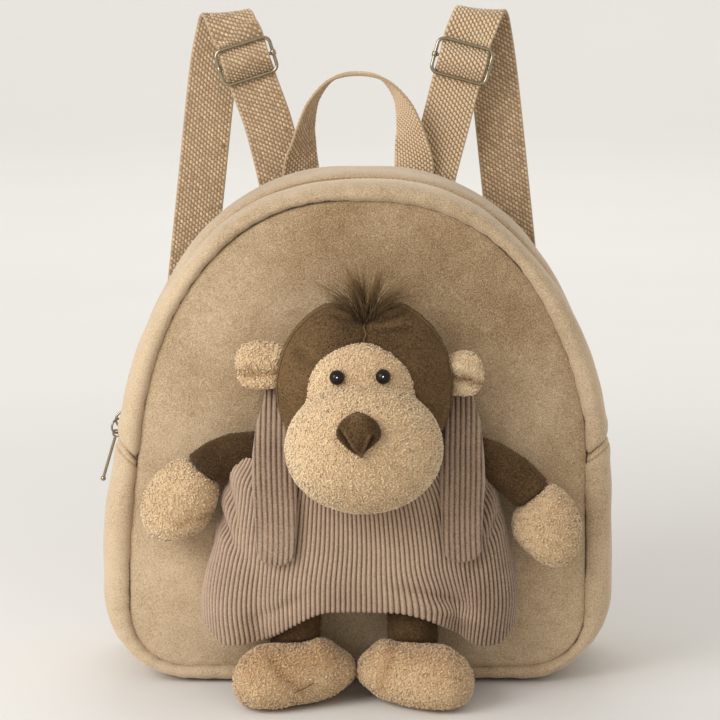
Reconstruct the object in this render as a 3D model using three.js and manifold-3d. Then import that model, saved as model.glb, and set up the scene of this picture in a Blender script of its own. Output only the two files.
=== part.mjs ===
// Plush animal backpack: an arched velour bag for a small child, with a stuffed monkey sewn to its front.
// Millimetres, +Z up. The bag stands on z = 0 with its flat base centred on the origin and faces -Y.
import * as THREE from "three";
import { mergeVertices } from "three/addons/utils/BufferGeometryUtils.js";
import Module from "manifold-3d";

const wasm = await Module();
wasm.setup();
const { lerp, smoothstep, degToRad } = THREE.MathUtils;

// Driving sizes
const gap = 0.35; // clearance between pieces that touch
const sewnGap = 0.7; // clearance of cloth that lies on a curved piece
const bag = { width: 250, height: 248, frontY: -43.5, backY: 43.5 };
const outline = { cornerRadius: 44, widestAt: 58, archPower: 2.35, joint: 0.261 };
const sway = { by: 2.2, from: 70, to: 160 }; // the soft arch sits a little to the right
const seamInset = { bottom: 7.5, side: 14, risesBy: 45 };
const wall = { velour: 3, corduroy: 2, zipTape: 1.6 };
const dome = { rise: 8, power: 4 }; // how far the front panel swells, and how flat its middle stays
const strap = { width: 24.4, thickness: 2 };
const handle = { width: 20, thickness: 2 };
const buckle = {
  width: 30.5,
  height: 20,
  corner: 4,
  wire: 1,
  bar: 0.9,
  sleeve: 1.75,
  sleeveLength: 3.6,
  lean: 14.5,
};

// Finishes
const finish = {
  velour: { color: "#c4a684", roughness: 0.95, metalness: 0 },
  webbing: { color: "#b08f6a", roughness: 0.9, metalness: 0 },
  brownPlush: { color: "#59422c", roughness: 0.95, metalness: 0 },
  sherpa: { color: "#d8b78c", roughness: 1, metalness: 0 },
  corduroy: { color: "#9c7f69", roughness: 0.95, metalness: 0 },
  hair: { color: "#5a4330", roughness: 0.8, metalness: 0 },
  eyeGloss: { color: "#0b0908", roughness: 0.12, metalness: 0 },
  nickel: { color: "#a59a86", roughness: 0.3, metalness: 1 },
  zipTape: { color: "#a98b68", roughness: 0.8, metalness: 0 },
};

// Meshes and solids

function vector(x, y, z) {
  return new THREE.Vector3(x, y, z);
}

function signedVolume(points, faces) {
  let sum = 0;
  const side = new THREE.Vector3();
  for (let i = 0; i < faces.length; i += 3) {
    const [a, b, c] = [points[faces[i]], points[faces[i + 1]], points[faces[i + 2]]];
    sum += side.crossVectors(b, c).dot(a);
  }
  return sum / 6;
}

// A geometry from points and triangles, with its faces turned outwards.
function facesOut(points, faces) {
  const turned = signedVolume(points, faces) < 0 ? faces.toReversed() : faces;
  const geometry = new THREE.BufferGeometry().setFromPoints(points);
  return geometry.setIndex(turned);
}

// A skin through rings of equally many points. It closes on itself, or its ends are shut with cross strips.
function skin(rings, { loop = false } = {}) {
  const count = rings[0].length;
  const faces = [];
  const quad = (a, b, c, d) => faces.push(a, b, c, a, c, d);
  const spans = loop ? rings.length : rings.length - 1;
  for (let r = 0; r < spans; r++) {
    const here = r * count;
    const next = ((r + 1) % rings.length) * count;
    for (let i = 0; i < count; i++) {
      const j = (i + 1) % count;
      quad(here + i, here + j, next + j, next + i);
    }
  }
  if (!loop) {
    const last = (rings.length - 1) * count;
    for (let i = 0; i < count / 2 - 1; i++) {
      const [j, k, m] = [i + 1, count - 2 - i, count - 1 - i];
      quad(m, k, j, i);
      quad(last + i, last + j, last + k, last + m);
    }
  }
  return facesOut(rings.flat(), faces);
}

function toSolid(geometry) {
  const bare = geometry.clone();
  bare.deleteAttribute("normal");
  bare.deleteAttribute("uv");
  const merged = mergeVertices(bare);
  const vertProperties = new Float32Array(merged.attributes.position.array);
  const triVerts = new Uint32Array(merged.index.array);
  return new wasm.Manifold(new wasm.Mesh({ numProp: 3, vertProperties, triVerts }));
}

function toGeometry(solid) {
  const mesh = solid.getMesh();
  const geometry = new THREE.BufferGeometry();
  geometry.setAttribute("position", new THREE.BufferAttribute(mesh.vertProperties, 3));
  return geometry.setIndex(new THREE.BufferAttribute(mesh.triVerts, 1));
}

function cut(geometry, ...cutters) {
  return toGeometry(cutters.reduce((solid, cutter) => solid.subtract(toSolid(cutter)), toSolid(geometry)));
}

function join(...geometries) {
  return toGeometry(geometries.map(toSolid).reduce((whole, part) => whole.add(part)));
}

function piece(name, geometry, look) {
  const mesh = new THREE.Mesh(geometry, new THREE.MeshStandardMaterial(look));
  mesh.name = name;
  return mesh;
}

// One named column of a table, read between its rows, which stand in order of their column "at".
function column(table, name, at) {
  const after = table.findIndex((row) => row.at >= at);
  if (after === 0) return table[0][name];
  if (after < 0) return table.at(-1)[name];
  const [low, high] = [table[after - 1], table[after]];
  return lerp(low[name], high[name], (at - low.at) / (high.at - low.at));
}

// Bag outline: flat base, round corners, short straight sides and an arch, as seen from the front

const half = bag.width / 2;
const flat = half - outline.cornerRadius;

class ArchCurve extends THREE.Curve {
  getPoint(t, target = new THREE.Vector2()) {
    const angle = (t * Math.PI) / 2;
    const power = 2 / outline.archPower;
    const rise = bag.height - outline.widestAt;
    return target.set(half * Math.cos(angle) ** power, outline.widestAt + rise * Math.sin(angle) ** power);
  }
}

const rightHalf = new THREE.CurvePath();
rightHalf.add(new THREE.LineCurve(new THREE.Vector2(0, 0), new THREE.Vector2(flat, 0)));
const corner = outline.cornerRadius;
rightHalf.add(new THREE.EllipseCurve(flat, corner, corner, corner, -Math.PI / 2, 0));
rightHalf.add(
  new THREE.LineCurve(new THREE.Vector2(half, corner), new THREE.Vector2(half, outline.widestAt)),
);
rightHalf.add(new ArchCurve());

// A point of the outline with its outward direction.
// u runs once round from the middle of the base, right side first.
function outlineAt(u) {
  const onHalf = (v) => {
    const turn = v - Math.floor(v);
    const point = rightHalf.getPoint(turn <= 0.5 ? turn * 2 : (1 - turn) * 2);
    const side = turn <= 0.5 ? 1 : -1;
    return point.set(side * point.x + sway.by * smoothstep(point.y, sway.from, sway.to), point.y);
  };
  const step = 0.002;
  const run = onHalf(u + step).sub(onHalf(u - step)).normalize();
  const at = onHalf(u);
  return { x: at.x, z: at.y, outX: run.y, outZ: -run.x };
}

function stations(from, to, steps) {
  return Array.from({ length: steps + 1 }, (_, i) => outlineAt(lerp(from, to, i / steps)));
}

function insetPoint(station, inset, y) {
  return vector(station.x - station.outX * inset, y, station.z - station.outZ * inset);
}

function seamAt(station) {
  return lerp(seamInset.bottom, seamInset.side, smoothstep(station.z, 0, seamInset.risesBy));
}

// Bands swept round the outline.
// A profile row gives the depth y and the inset as a share of the seam's inset.
function band(profile, { from, to, steps, thickness }) {
  const rings = stations(from, to, steps).map((station) => {
    const outer = profile.map((row) => new THREE.Vector2(row.y, row.inset * seamAt(station)));
    const inner = outer.map((point, i) => {
      const ahead = outer[Math.min(i + 1, outer.length - 1)];
      const behind = outer[Math.max(i - 1, 0)];
      const run = ahead.clone().sub(behind).normalize();
      return new THREE.Vector2(point.x - run.y * thickness, point.y + run.x * thickness);
    });
    return [...outer, ...inner.reverse()].map((point) => insetPoint(station, point.y, point.x));
  });
  return skin(rings);
}

const zip = { front: -13.5, back: -4.5, edgeInset: 0.22 };
const frontRoll = [
  { y: bag.frontY, inset: 1 },
  { y: bag.frontY - 2.8, inset: 0.82 },
  { y: bag.frontY - 2.6, inset: 0.48 },
  { y: -39, inset: 0.15 },
  { y: -28, inset: 0 },
];
const backRoll = [
  { y: 28, inset: 0 },
  { y: 39.5, inset: 0.12 },
  { y: bag.backY, inset: 0.38 },
  { y: 42.6, inset: 0.66 },
];
const rimProfile = [...frontRoll, { y: -18, inset: 0.05 }, { y: zip.front, inset: zip.edgeInset }];
const rearProfile = [{ y: zip.back, inset: zip.edgeInset }, { y: 2, inset: 0.03 }, ...backRoll];
const lowerProfile = [...frontRoll, ...backRoll];
const chainProfile = [
  { y: zip.front + gap, inset: 0.34 },
  { y: -10.4, inset: 0.25 },
  { y: -7.6, inset: 0.25 },
  { y: zip.back - gap, inset: 0.34 },
];

const upperRun = { from: outline.joint, to: 1 - outline.joint, steps: 24 };
const jointGap = 0.0005;
const lowerRun = { from: jointGap - outline.joint, to: outline.joint - jointGap, steps: 28 };
const frontRim = band(rimProfile, { ...upperRun, thickness: wall.velour });
const rearBand = band(rearProfile, { ...upperRun, thickness: wall.velour });
const lowerGusset = band(lowerProfile, { ...lowerRun, thickness: wall.velour });
const zipChain = band(chainProfile, { ...upperRun, thickness: wall.zipTape });

// Panels: plates shaped like the outline, in rings that shrink towards the panel's middle

const panelMiddle = vector(0, 0, 90);

// The panels share their stations with the bands round them, so their edges run alongside each other.
const roundStations = [lowerRun, upperRun].flatMap(({ from, to, steps }) => {
  return stations(from, to, steps).slice(0, -1);
});

function panelEdge(inset) {
  return roundStations.map((station) => insetPoint(station, inset(station), 0));
}

function panel({ inset, y, bulge, thickness, rings, liningRings }) {
  const edge = panelEdge(inset);
  const ring = (share, depth) => edge.map((point) => point.clone().lerp(panelMiddle, 1 - share).setY(depth));
  const depthAt = (share) => y + bulge * (1 - share ** dome.power);
  const outer = rings.map((share) => ring(share, depthAt(share)));
  const inner = liningRings.map((share) => ring(share, depthAt(share) + thickness));
  return skin([...outer, ...inner.reverse()]);
}

const frontInset = (station) => seamAt(station) + gap;
const frontPanel = panel({
  inset: frontInset,
  y: bag.frontY,
  bulge: -dome.rise,
  thickness: wall.velour,
  rings: [0.18, 0.55, 0.78, 0.92, 1],
  liningRings: [0.5, 1],
});
const backPanel = panel({
  inset: (station) => seamAt(station) * backRoll.at(-1).inset + gap,
  y: bag.backY,
  bulge: 0,
  thickness: -wall.velour,
  rings: [1],
  liningRings: [1],
});

// The front panel's face at a point seen from the front, for what is sewn to it.
const frontEdge = panelEdge(frontInset).map((point) => point.sub(panelMiddle));

function panelFace(x, z) {
  const up = z - panelMiddle.z;
  const toRight = (point) => x * point.z - up * point.x;
  const share = Math.max(...frontEdge.map((start, i) => {
    const end = frontEdge[(i + 1) % frontEdge.length];
    if (toRight(start) > 0 || toRight(end) < 0) return 0;
    const [runX, runZ] = [end.x - start.x, end.z - start.z];
    return (x * runZ - up * runX) / (start.x * runZ - start.z * runX);
  }));
  return bag.frontY - dome.rise * (1 - Math.min(1, share) ** dome.power);
}

// Webbing: a flat strip along a smooth path.
// Each row gives the middle of the strip and the way its width lies.
function webbing(rows, { width, thickness, steps }) {
  const middles = rows.map((row) => vector(row.x, row.y, row.z));
  const path = new THREE.CatmullRomCurve3(middles, false, "centripetal");
  const rings = Array.from({ length: steps + 1 }, (_, i) => {
    const t = i / steps;
    const run = path.getTangent(t);
    const along = t * (rows.length - 1);
    const row = Math.min(Math.floor(along), rows.length - 2);
    const side = vector(...rows[row].across).lerp(vector(...rows[row + 1].across), along - row);
    side.addScaledVector(run, -side.dot(run)).setLength(width / 2);
    const up = run.clone().cross(side).setLength(thickness / 2);
    const middle = path.getPoint(t);
    const corner = (s, u) => middle.clone().addScaledVector(side, s).addScaledVector(up, u);
    return [corner(-1, -1), corner(1, -1), corner(1, 1), corner(-1, 1)];
  });
  return skin(rings);
}

// Top handle: its ends lie flat on the back panel and it turns edge-on over the top
const handleY = bag.backY + gap + handle.thickness / 2;
const handleLeg = [
  { x: 28.8, z: 228, leftTurn: 0, rightTurn: 0 },
  { x: 28.8, z: 240, leftTurn: 0, rightTurn: 0 },
  { x: 28.8, z: 249, leftTurn: 8, rightTurn: 0 },
  { x: 27.4, z: 257, leftTurn: 42, rightTurn: 24 },
  { x: 26, z: 266, leftTurn: 60, rightTurn: 46 },
  { x: 22.4, z: 280, leftTurn: 78, rightTurn: 72 },
  { x: 12.6, z: 290.5, leftTurn: 86, rightTurn: 86 },
];
const handleRow = (side, turn) => (row) => {
  const angle = degToRad(row[turn]);
  return { x: side * row.x, y: handleY, z: row.z, across: [-side * Math.cos(angle), Math.sin(angle), 0] };
};
const topHandle = webbing(
  [
    ...handleLeg.map(handleRow(-1, "leftTurn")),
    { x: 0, y: handleY, z: 293.2, across: [0, 1, 0] },
    ...handleLeg.toReversed().map(handleRow(1, "rightTurn")),
  ],
  { ...handle, steps: 28 },
);

// Shoulder straps: up from the back seam through the slide buckle, over a fold and down to the lower corner

const strapY = handleY + handle.thickness / 2 + 2 * sewnGap + strap.thickness / 2;
const buckleAt = { x: 53, z: 299.5, y: strapY - strap.thickness / 2 - gap - buckle.wire };
const overBar = buckleAt.y - buckle.bar - gap - strap.thickness / 2;
const barReach = buckle.height / 2 - buckle.wire;

// Rows beside the buckle's middle: how far along the strap, and how deep it lies there.
const throughBuckle = [
  { along: -barReach - 3.5, y: strapY + 0.5 },
  { along: -barReach, y: strapY + 1 },
  { along: -1.4, y: overBar - 0.3 },
  { along: 1.4, y: overBar - 0.3 },
  { along: barReach, y: strapY + 1 },
  { along: barReach + 3.5, y: strapY + 0.5 },
];
const strapBelow = [
  { x: 38.6, y: strapY, z: 226, lean: 6 },
  { x: 39.6, y: strapY, z: 244, lean: 9 },
  { x: 45.2, y: strapY, z: 269, lean: buckle.lean },
];
const strapAbove = [
  { x: 59.4, y: strapY + 0.6, z: 316, lean: 10 },
  { x: 62.8, y: strapY + 3.4, z: 321.6, lean: 8 },
  { x: 65, y: strapY + 7.4, z: 323.2, lean: 4 },
  { x: 66.8, y: strapY + 11.2, z: 319, lean: -2 },
  { x: 69.6, y: strapY + 12.6, z: 300, lean: -6 },
  { x: 77.7, y: strapY + 15, z: 225, lean: -7.5 },
  { x: 87.5, y: strapY + 19, z: 140, lean: -7.5 },
];
const strapEnd = [
  { x: 96.5, y: strapY + 13, z: 68, lean: -7.5 },
  { x: 100.6, y: bag.backY + 2.6, z: 36, lean: -7.5 },
  { x: 102.4, y: bag.backY + gap + strap.thickness / 2, z: 20, lean: -7.5 },
];

function strapRows(side, shifts) {
  const leanAngle = degToRad(buckle.lean);
  const middle = throughBuckle.map(({ along, y }) => ({
    x: buckleAt.x + along * Math.sin(leanAngle),
    y,
    z: buckleAt.z + along * Math.cos(leanAngle),
    lean: buckle.lean,
  }));
  const placed = (rows, shift) => rows.map(({ x, y, z, lean }) => {
    const angle = degToRad(lean);
    return { x: side * (x + shift), y, z, across: [side * Math.cos(angle), 0, -Math.sin(angle)] };
  });
  return [
    ...placed(strapBelow, shifts.below),
    ...placed(middle, shifts.buckle),
    ...placed(strapAbove, shifts.above),
    ...placed(strapEnd, shifts.end),
  ];
}

// Slide buckle: a round-cornered wire frame and a centre bar whose ends are crimped round the frame's sides

function wireLoop(points, radius, sides) {
  const count = points.length;
  const rings = points.map((point, i) => {
    const run = points[(i + 1) % count].clone().sub(points[(i + count - 1) % count]).normalize();
    const up = vector(0, 1, 0);
    const out = run.clone().cross(up);
    return Array.from({ length: sides }, (_, s) => {
      const angle = (s / sides) * 2 * Math.PI;
      const offset = up.clone().multiplyScalar(Math.sin(angle)).addScaledVector(out, Math.cos(angle));
      return point.clone().addScaledVector(offset, radius);
    });
  });
  return skin(rings, { loop: true });
}

function roundRectangle(width, height, radius, cornerSteps) {
  const points = [];
  const corners = [[1, 1], [-1, 1], [-1, -1], [1, -1]];
  corners.forEach(([sideX, sideZ], quarter) => {
    for (let i = 0; i <= cornerSteps; i++) {
      const angle = ((quarter + i / cornerSteps) * Math.PI) / 2;
      const x = sideX * (width / 2 - radius) + radius * Math.cos(angle);
      const z = sideZ * (height / 2 - radius) + radius * Math.sin(angle);
      points.push(vector(x, 0, z));
    }
  });
  return points;
}

const wireSpan = buckle.width - 2 * buckle.wire;
const wireRise = buckle.height - 2 * buckle.wire;
const buckleFrame = wireLoop(roundRectangle(wireSpan, wireRise, buckle.corner, 3), buckle.wire, 5);

function buckleBar() {
  const rod = new THREE.CylinderGeometry(buckle.bar, buckle.bar, wireSpan, 6).rotateZ(Math.PI / 2);
  const tube = (side, radius, length) => {
    const upright = new THREE.CylinderGeometry(radius, radius, length, 8).rotateX(Math.PI / 2);
    return upright.translate((side * wireSpan) / 2, 0, 0);
  };
  const sleeve = (side) => tube(side, buckle.sleeve, buckle.sleeveLength);
  const bore = (side) => tube(side, buckle.wire + gap, 2 * buckle.sleeveLength);
  return cut(join(rod, sleeve(-1), sleeve(1)), bore(-1), bore(1));
}

const harness = new THREE.Group();
harness.add(piece("top_handle", topHandle, finish.webbing));
const strapSides = [
  { name: "left", side: -1, shifts: { below: 0.9, buckle: 3.5, above: 4.5, end: 3.5 } },
  { name: "right", side: 1, shifts: { below: 0, buckle: 0, above: 0, end: 0 } },
];
for (const { name, side, shifts } of strapSides) {
  const shoulder = webbing(strapRows(side, shifts), { ...strap, steps: 50 });
  harness.add(piece(`strap_${name}`, shoulder, finish.webbing));
  const slide = new THREE.Group();
  slide.position.set(side * (buckleAt.x + shifts.buckle), buckleAt.y, buckleAt.z);
  slide.rotation.y = side * degToRad(buckle.lean);
  slide.add(piece(`buckle_frame_${name}`, buckleFrame, finish.nickel));
  slide.add(piece(`buckle_bar_${name}`, buckleBar(), finish.nickel));
  harness.add(slide);
}

// Zip slider on the left side, with a ring and a pull bar that hang from its bridge.
// In the slider's own frame X points out of the bag, Y is the bag's depth and Z runs down along the zip.

const slider = { u: 0.7255, length: 8, width: 6.5, thickness: 2, bridge: 3.2, bridgeWire: 0.6 };
const ring = { radius: 3.6, wire: 0.55, turn: 12 };
const pull = { length: 25, radius: 0.75, eye: 1.6, eyeWire: 0.55, ball: 1.3 };

const zipMiddle = (zip.front + zip.back) / 2;
const coilInset = chainProfile[1].inset * seamInset.side;
const sliderAt = outlineAt(slider.u);
const ringRise = slider.bridge - slider.bridgeWire - gap - ring.wire;
const eyeDrop = 2 * ring.radius - ring.wire - gap - pull.eyeWire + pull.eye;

function sliderBody() {
  const body = new THREE.BoxGeometry(slider.thickness, slider.width, slider.length);
  const loop = new THREE.TorusGeometry(slider.bridge, slider.bridgeWire, 5, 12).rotateX(Math.PI / 2);
  const under = new THREE.BoxGeometry(2 * slider.bridge, slider.width, 4 * slider.bridge);
  const bridge = cut(loop, under.translate(-slider.bridge - slider.thickness / 2, 0, 0));
  return join(body.translate(-slider.thickness / 2, 0, 0), bridge);
}

function pullRing() {
  const loop = new THREE.TorusGeometry(ring.radius, ring.wire, 5, 14).rotateY(Math.PI / 2);
  return loop.rotateZ(degToRad(ring.turn)).translate(ringRise, 0, ring.radius);
}

function pullBar() {
  const rodLength = pull.length - pull.eye - pull.ball;
  const eye = new THREE.TorusGeometry(pull.eye, pull.eyeWire, 5, 10).rotateX(Math.PI / 2);
  const rod = new THREE.CylinderGeometry(pull.radius, pull.radius, rodLength, 6).rotateX(Math.PI / 2);
  const ball = new THREE.SphereGeometry(pull.ball, 6, 4);
  const whole = join(
    eye,
    rod.translate(0, 0, pull.eye + rodLength / 2),
    ball.translate(0, 0, pull.eye + rodLength),
  );
  return whole.translate(ringRise, 0, eyeDrop);
}

const zipPull = new THREE.Group();
zipPull.position.copy(insetPoint(sliderAt, coilInset - sewnGap - slider.thickness, zipMiddle));
zipPull.rotation.y = Math.atan2(-sliderAt.outZ, sliderAt.outX);
zipPull.add(piece("zip_slider", sliderBody(), finish.nickel));
zipPull.add(piece("zip_pull_ring", pullRing(), finish.nickel));
zipPull.add(piece("zip_pull_bar", pullBar(), finish.nickel));

const bagPieces = new THREE.Group();
bagPieces.add(piece("front_panel", frontPanel, finish.velour));
bagPieces.add(piece("front_rim", frontRim, finish.velour));
bagPieces.add(piece("rear_band", rearBand, finish.velour));
bagPieces.add(piece("lower_gusset", lowerGusset, finish.velour));
bagPieces.add(piece("back_panel", backPanel, finish.velour));
bagPieces.add(piece("zip_chain", zipChain, finish.zipTape));
bagPieces.add(zipPull);

// Stuffed forms

// An oval stuffed form, shaped further by a function of each point and its direction from the middle.
function plush({ at, radii, detail, shape }, grow = 0) {
  const geometry = new THREE.IcosahedronGeometry(1, detail);
  const position = geometry.attributes.position;
  const way = new THREE.Vector3();
  for (let i = 0; i < position.count; i++) {
    way.fromBufferAttribute(position, i).normalize();
    const point = vector(
      at[0] + way.x * (radii[0] + grow),
      at[1] + way.y * (radii[1] + grow),
      at[2] + way.z * (radii[2] + grow),
    );
    if (shape) shape(point, way);
    position.setXYZ(i, point.x, point.y, point.z);
  }
  geometry.deleteAttribute("normal");
  geometry.deleteAttribute("uv");
  return mergeVertices(geometry, 1e-4);
}

// A stuffed limb: oval sections along a path, wide as seen from the front and deep along Y.
// A row's slope, in degrees up from +X, sets the way the path runs there.
function limb(rows, { sides, grow = 0, floor = -Infinity }) {
  const depth = vector(0, 1, 0);
  const middles = rows.map((row) => vector(row.x, row.y, row.z));
  const rings = rows.map((row, i) => {
    const ahead = middles[Math.min(i + 1, rows.length - 1)];
    const behind = middles[Math.max(i - 1, 0)];
    const run = ahead.clone().sub(behind).normalize();
    if (row.slope) run.set(Math.cos(degToRad(row.slope)), 0, Math.sin(degToRad(row.slope)));
    const across = run.clone().cross(depth).normalize();
    return Array.from({ length: sides }, (_, s) => {
      const angle = (s / sides) * 2 * Math.PI;
      const point = middles[i].clone();
      point.addScaledVector(across, Math.cos(angle) * (row.wide / 2 + grow));
      point.addScaledVector(depth, Math.sin(angle) * (row.deep / 2 + grow));
      if (i === 0) point.addScaledVector(run, -grow);
      if (i === rows.length - 1) point.addScaledVector(run, grow);
      return point.setZ(Math.max(point.z, floor));
    });
  });
  return skin(rings);
}

function pressedToPanel(point) {
  point.y = Math.min(point.y, panelFace(point.x, point.z) - sewnGap);
}

// Head: two soft lobes with a centre seam between them, pressed flat where it is sewn to the bag
const crown = { dip: 12, seamWidth: 9 };
const headForm = {
  at: [3.3, -73, 152],
  radii: [42, 23, 44],
  detail: 4,
  shape(point, way) {
    const overTop = Math.max(0, way.z) ** 2;
    point.z -= crown.dip * overTop * Math.exp(-(((point.x - headForm.at[0]) / crown.seamWidth) ** 2));
    pressedToPanel(point);
  },
};

// Face: a brow patch and a broad round muzzle in one piece
const browForm = { at: [1.8, -89, 151], radii: [26.5, 14, 25.5], detail: 3 };
const muzzleForm = { at: [3, -101, 127], radii: [37, 25, 30.5], detail: 4 };
const faceSolid = (grow) => join(plush(browForm, grow), plush(muzzleForm, grow));

// Nose: a rounded wedge that narrows downwards to a keel
const keel = { narrows: 0.62, fallsBack: 2.2, standsOut: 1.2, width: 0.25 };
const noseForm = {
  at: [0.6, -124.5, 137.5],
  radii: [10.6, 6.5, 10.2],
  detail: 2,
  shape(point, way) {
    const lower = Math.max(0, -way.z);
    const ridge = keel.standsOut * Math.exp(-((way.x / keel.width) ** 2));
    point.x = lerp(point.x, noseForm.at[0], keel.narrows * lower);
    point.y += (keel.fallsBack - ridge) * lower;
  },
};
const eyeForms = [
  { name: "eye_left", at: [-9.4, -102, 160.6] },
  { name: "eye_right", at: [11.8, -102, 161] },
];
const eyeRadius = 3.5;

// Ears: flat rounded pads with a hollow in the front
const earHollow = { depth: 4.5, width: 0.55, height: 0.4 };
function earShape(hollowX, hollowZ) {
  return (point, way) => {
    const across = (way.x - hollowX) / earHollow.width;
    const up = (way.z - hollowZ) / earHollow.height;
    if (way.y < 0) point.y += earHollow.depth * Math.exp(-(across ** 2) - up ** 2);
  };
}
const earForms = [
  { name: "ear_left", at: [-46.5, -66, 160.5], radii: [12, 7.5, 12.6], shape: earShape(-0.1, -0.25) },
  { name: "ear_right", at: [50.4, -69, 157], radii: [9.8, 8, 11.8], shape: earShape(0.2, -0.1) },
];

// Hair tuft: curved locks that fan out of one root on the crown
const tuft = { x: 4, y: -79, z: 181, rootWidth: 7, rootRadius: 5, sides: 4, steps: 3 };
const lock = { width: 4.75, depth: 3.8, rootLean: 0.45, tip: 0.15, taper: 1.5 };
const locks = [
  { lean: -60, back: 6, length: 21 },
  { lean: -40, back: -8, length: 26 },
  { lean: -20, back: 7, length: 28 },
  { lean: -4, back: -7, length: 30 },
  { lean: 12, back: 9, length: 29 },
  { lean: 28, back: -7, length: 28 },
  { lean: 46, back: 7, length: 25 },
  { lean: 64, back: -4, length: 20 },
];

function lockShape({ lean, back, length }) {
  const rows = Array.from({ length: tuft.steps + 1 }, (_, i) => {
    const t = i / tuft.steps;
    const angle = degToRad(lean * lerp(lock.rootLean, 1, t));
    const full = lerp(1, lock.tip, t ** lock.taper);
    return {
      x: tuft.x + Math.sin(angle) * length * t,
      y: tuft.y + back * t,
      z: tuft.z + Math.cos(angle) * length * t,
      wide: lock.width * full,
      deep: lock.depth * full,
    };
  });
  return limb(rows, { sides: tuft.sides });
}

// Dress: a corduroy shell, open at the neck and hem.
// A row gives its reach to the left and to the right of its middle and its depth, from neck to hem.
const dressMiddle = 1.6;
const dressRows = [
  { at: 0, left: 60, right: 56, deep: 26 },
  { at: 0.2, left: 66, right: 65.5, deep: 30 },
  { at: 0.5, left: 70.5, right: 71.5, deep: 33 },
  { at: 0.8, left: 76, right: 75.5, deep: 32 },
  { at: 1, left: 76.5, right: 76, deep: 29 },
];
const dressSquareness = 0.4; // how soon the cloth stands off the bag beside its edges
const foldsFrom = 0.3;
const neckline = { middle: 107, shoulder: 117, from: 12, to: 45 };
const hem = { middle: 44, corner: 26, levelTo: 14, dropsBy: 58, reach: 66, edgeRise: 8 };
const hemFolds = [
  { x: -62, width: 6, rise: 1.5 },
  { x: -47, width: 6, rise: -3.5 },
  { x: -18, width: 14, rise: 1.5 },
  { x: 22, width: 12, rise: 1 },
  { x: 43, width: 7, rise: -5 },
  { x: 60, width: 6, rise: 2 },
];
const dressColumns = 18;

function hemFold(x) {
  const rises = hemFolds.map((row) => row.rise * Math.exp(-(((x - row.x) / row.width) ** 2)));
  return rises.reduce((sum, rise) => sum + rise);
}

function dressHeight(x, v) {
  const off = Math.abs(x - dressMiddle);
  const top = lerp(neckline.middle, neckline.shoulder, smoothstep(off, neckline.from, neckline.to));
  const swing = smoothstep(off, hem.levelTo, hem.dropsBy);
  const edge = hem.edgeRise * smoothstep(off, hem.reach, column(dressRows, "right", 1));
  return lerp(top, lerp(hem.middle, hem.corner, swing) + edge, v);
}

function dressRing(v, inset) {
  const reachLeft = column(dressRows, "left", v) - inset;
  const reachRight = column(dressRows, "right", v) - inset;
  const deep = column(dressRows, "deep", v) - 2 * inset;
  const points = [];
  const place = (x, standOff) => {
    const z = dressHeight(x, v);
    points.push(vector(x, panelFace(x, z) - sewnGap - inset - standOff, z));
  };
  const across = (i) => {
    const toLeft = Math.cos((Math.PI * i) / dressColumns);
    return dressMiddle - toLeft * (toLeft > 0 ? reachLeft : reachRight);
  };
  for (let i = 0; i <= dressColumns; i++) {
    const x = across(i);
    const round = Math.sin((Math.PI * i) / dressColumns) ** dressSquareness;
    place(x, round * (deep + hemFold(x) * smoothstep(v, foldsFrom, 1)));
  }
  for (let i = dressColumns - 1; i > 0; i--) {
    place(across(i), 0);
  }
  return points;
}

const dressSteps = [0, 0.2, 0.5, 0.8, 1];

function dressShell() {
  const outer = dressSteps.map((v) => dressRing(v, 0));
  const inner = dressSteps.map((v) => dressRing(v, wall.corduroy));
  return skin([...outer, ...inner.reverse()], { loop: true });
}

// The space that the dress takes up, from a little above its neck.
const aboveNeck = -0.03;
function dressBody(grow) {
  return skin([aboveNeck, ...dressSteps.slice(1)].map((v) => dressRing(v, -grow)));
}

// Torso: the stuffed body that fills the dress
const torsoRows = [
  { v: 0.05, inset: 8 },
  { v: 0.2, inset: wall.corduroy + 1 },
  { v: 0.5, inset: wall.corduroy + 1 },
  { v: 0.7, inset: 5 },
  { v: 0.78, inset: 10 },
];
const torso = skin(torsoRows.map(({ v, inset }) => dressRing(v, inset)));

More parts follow.
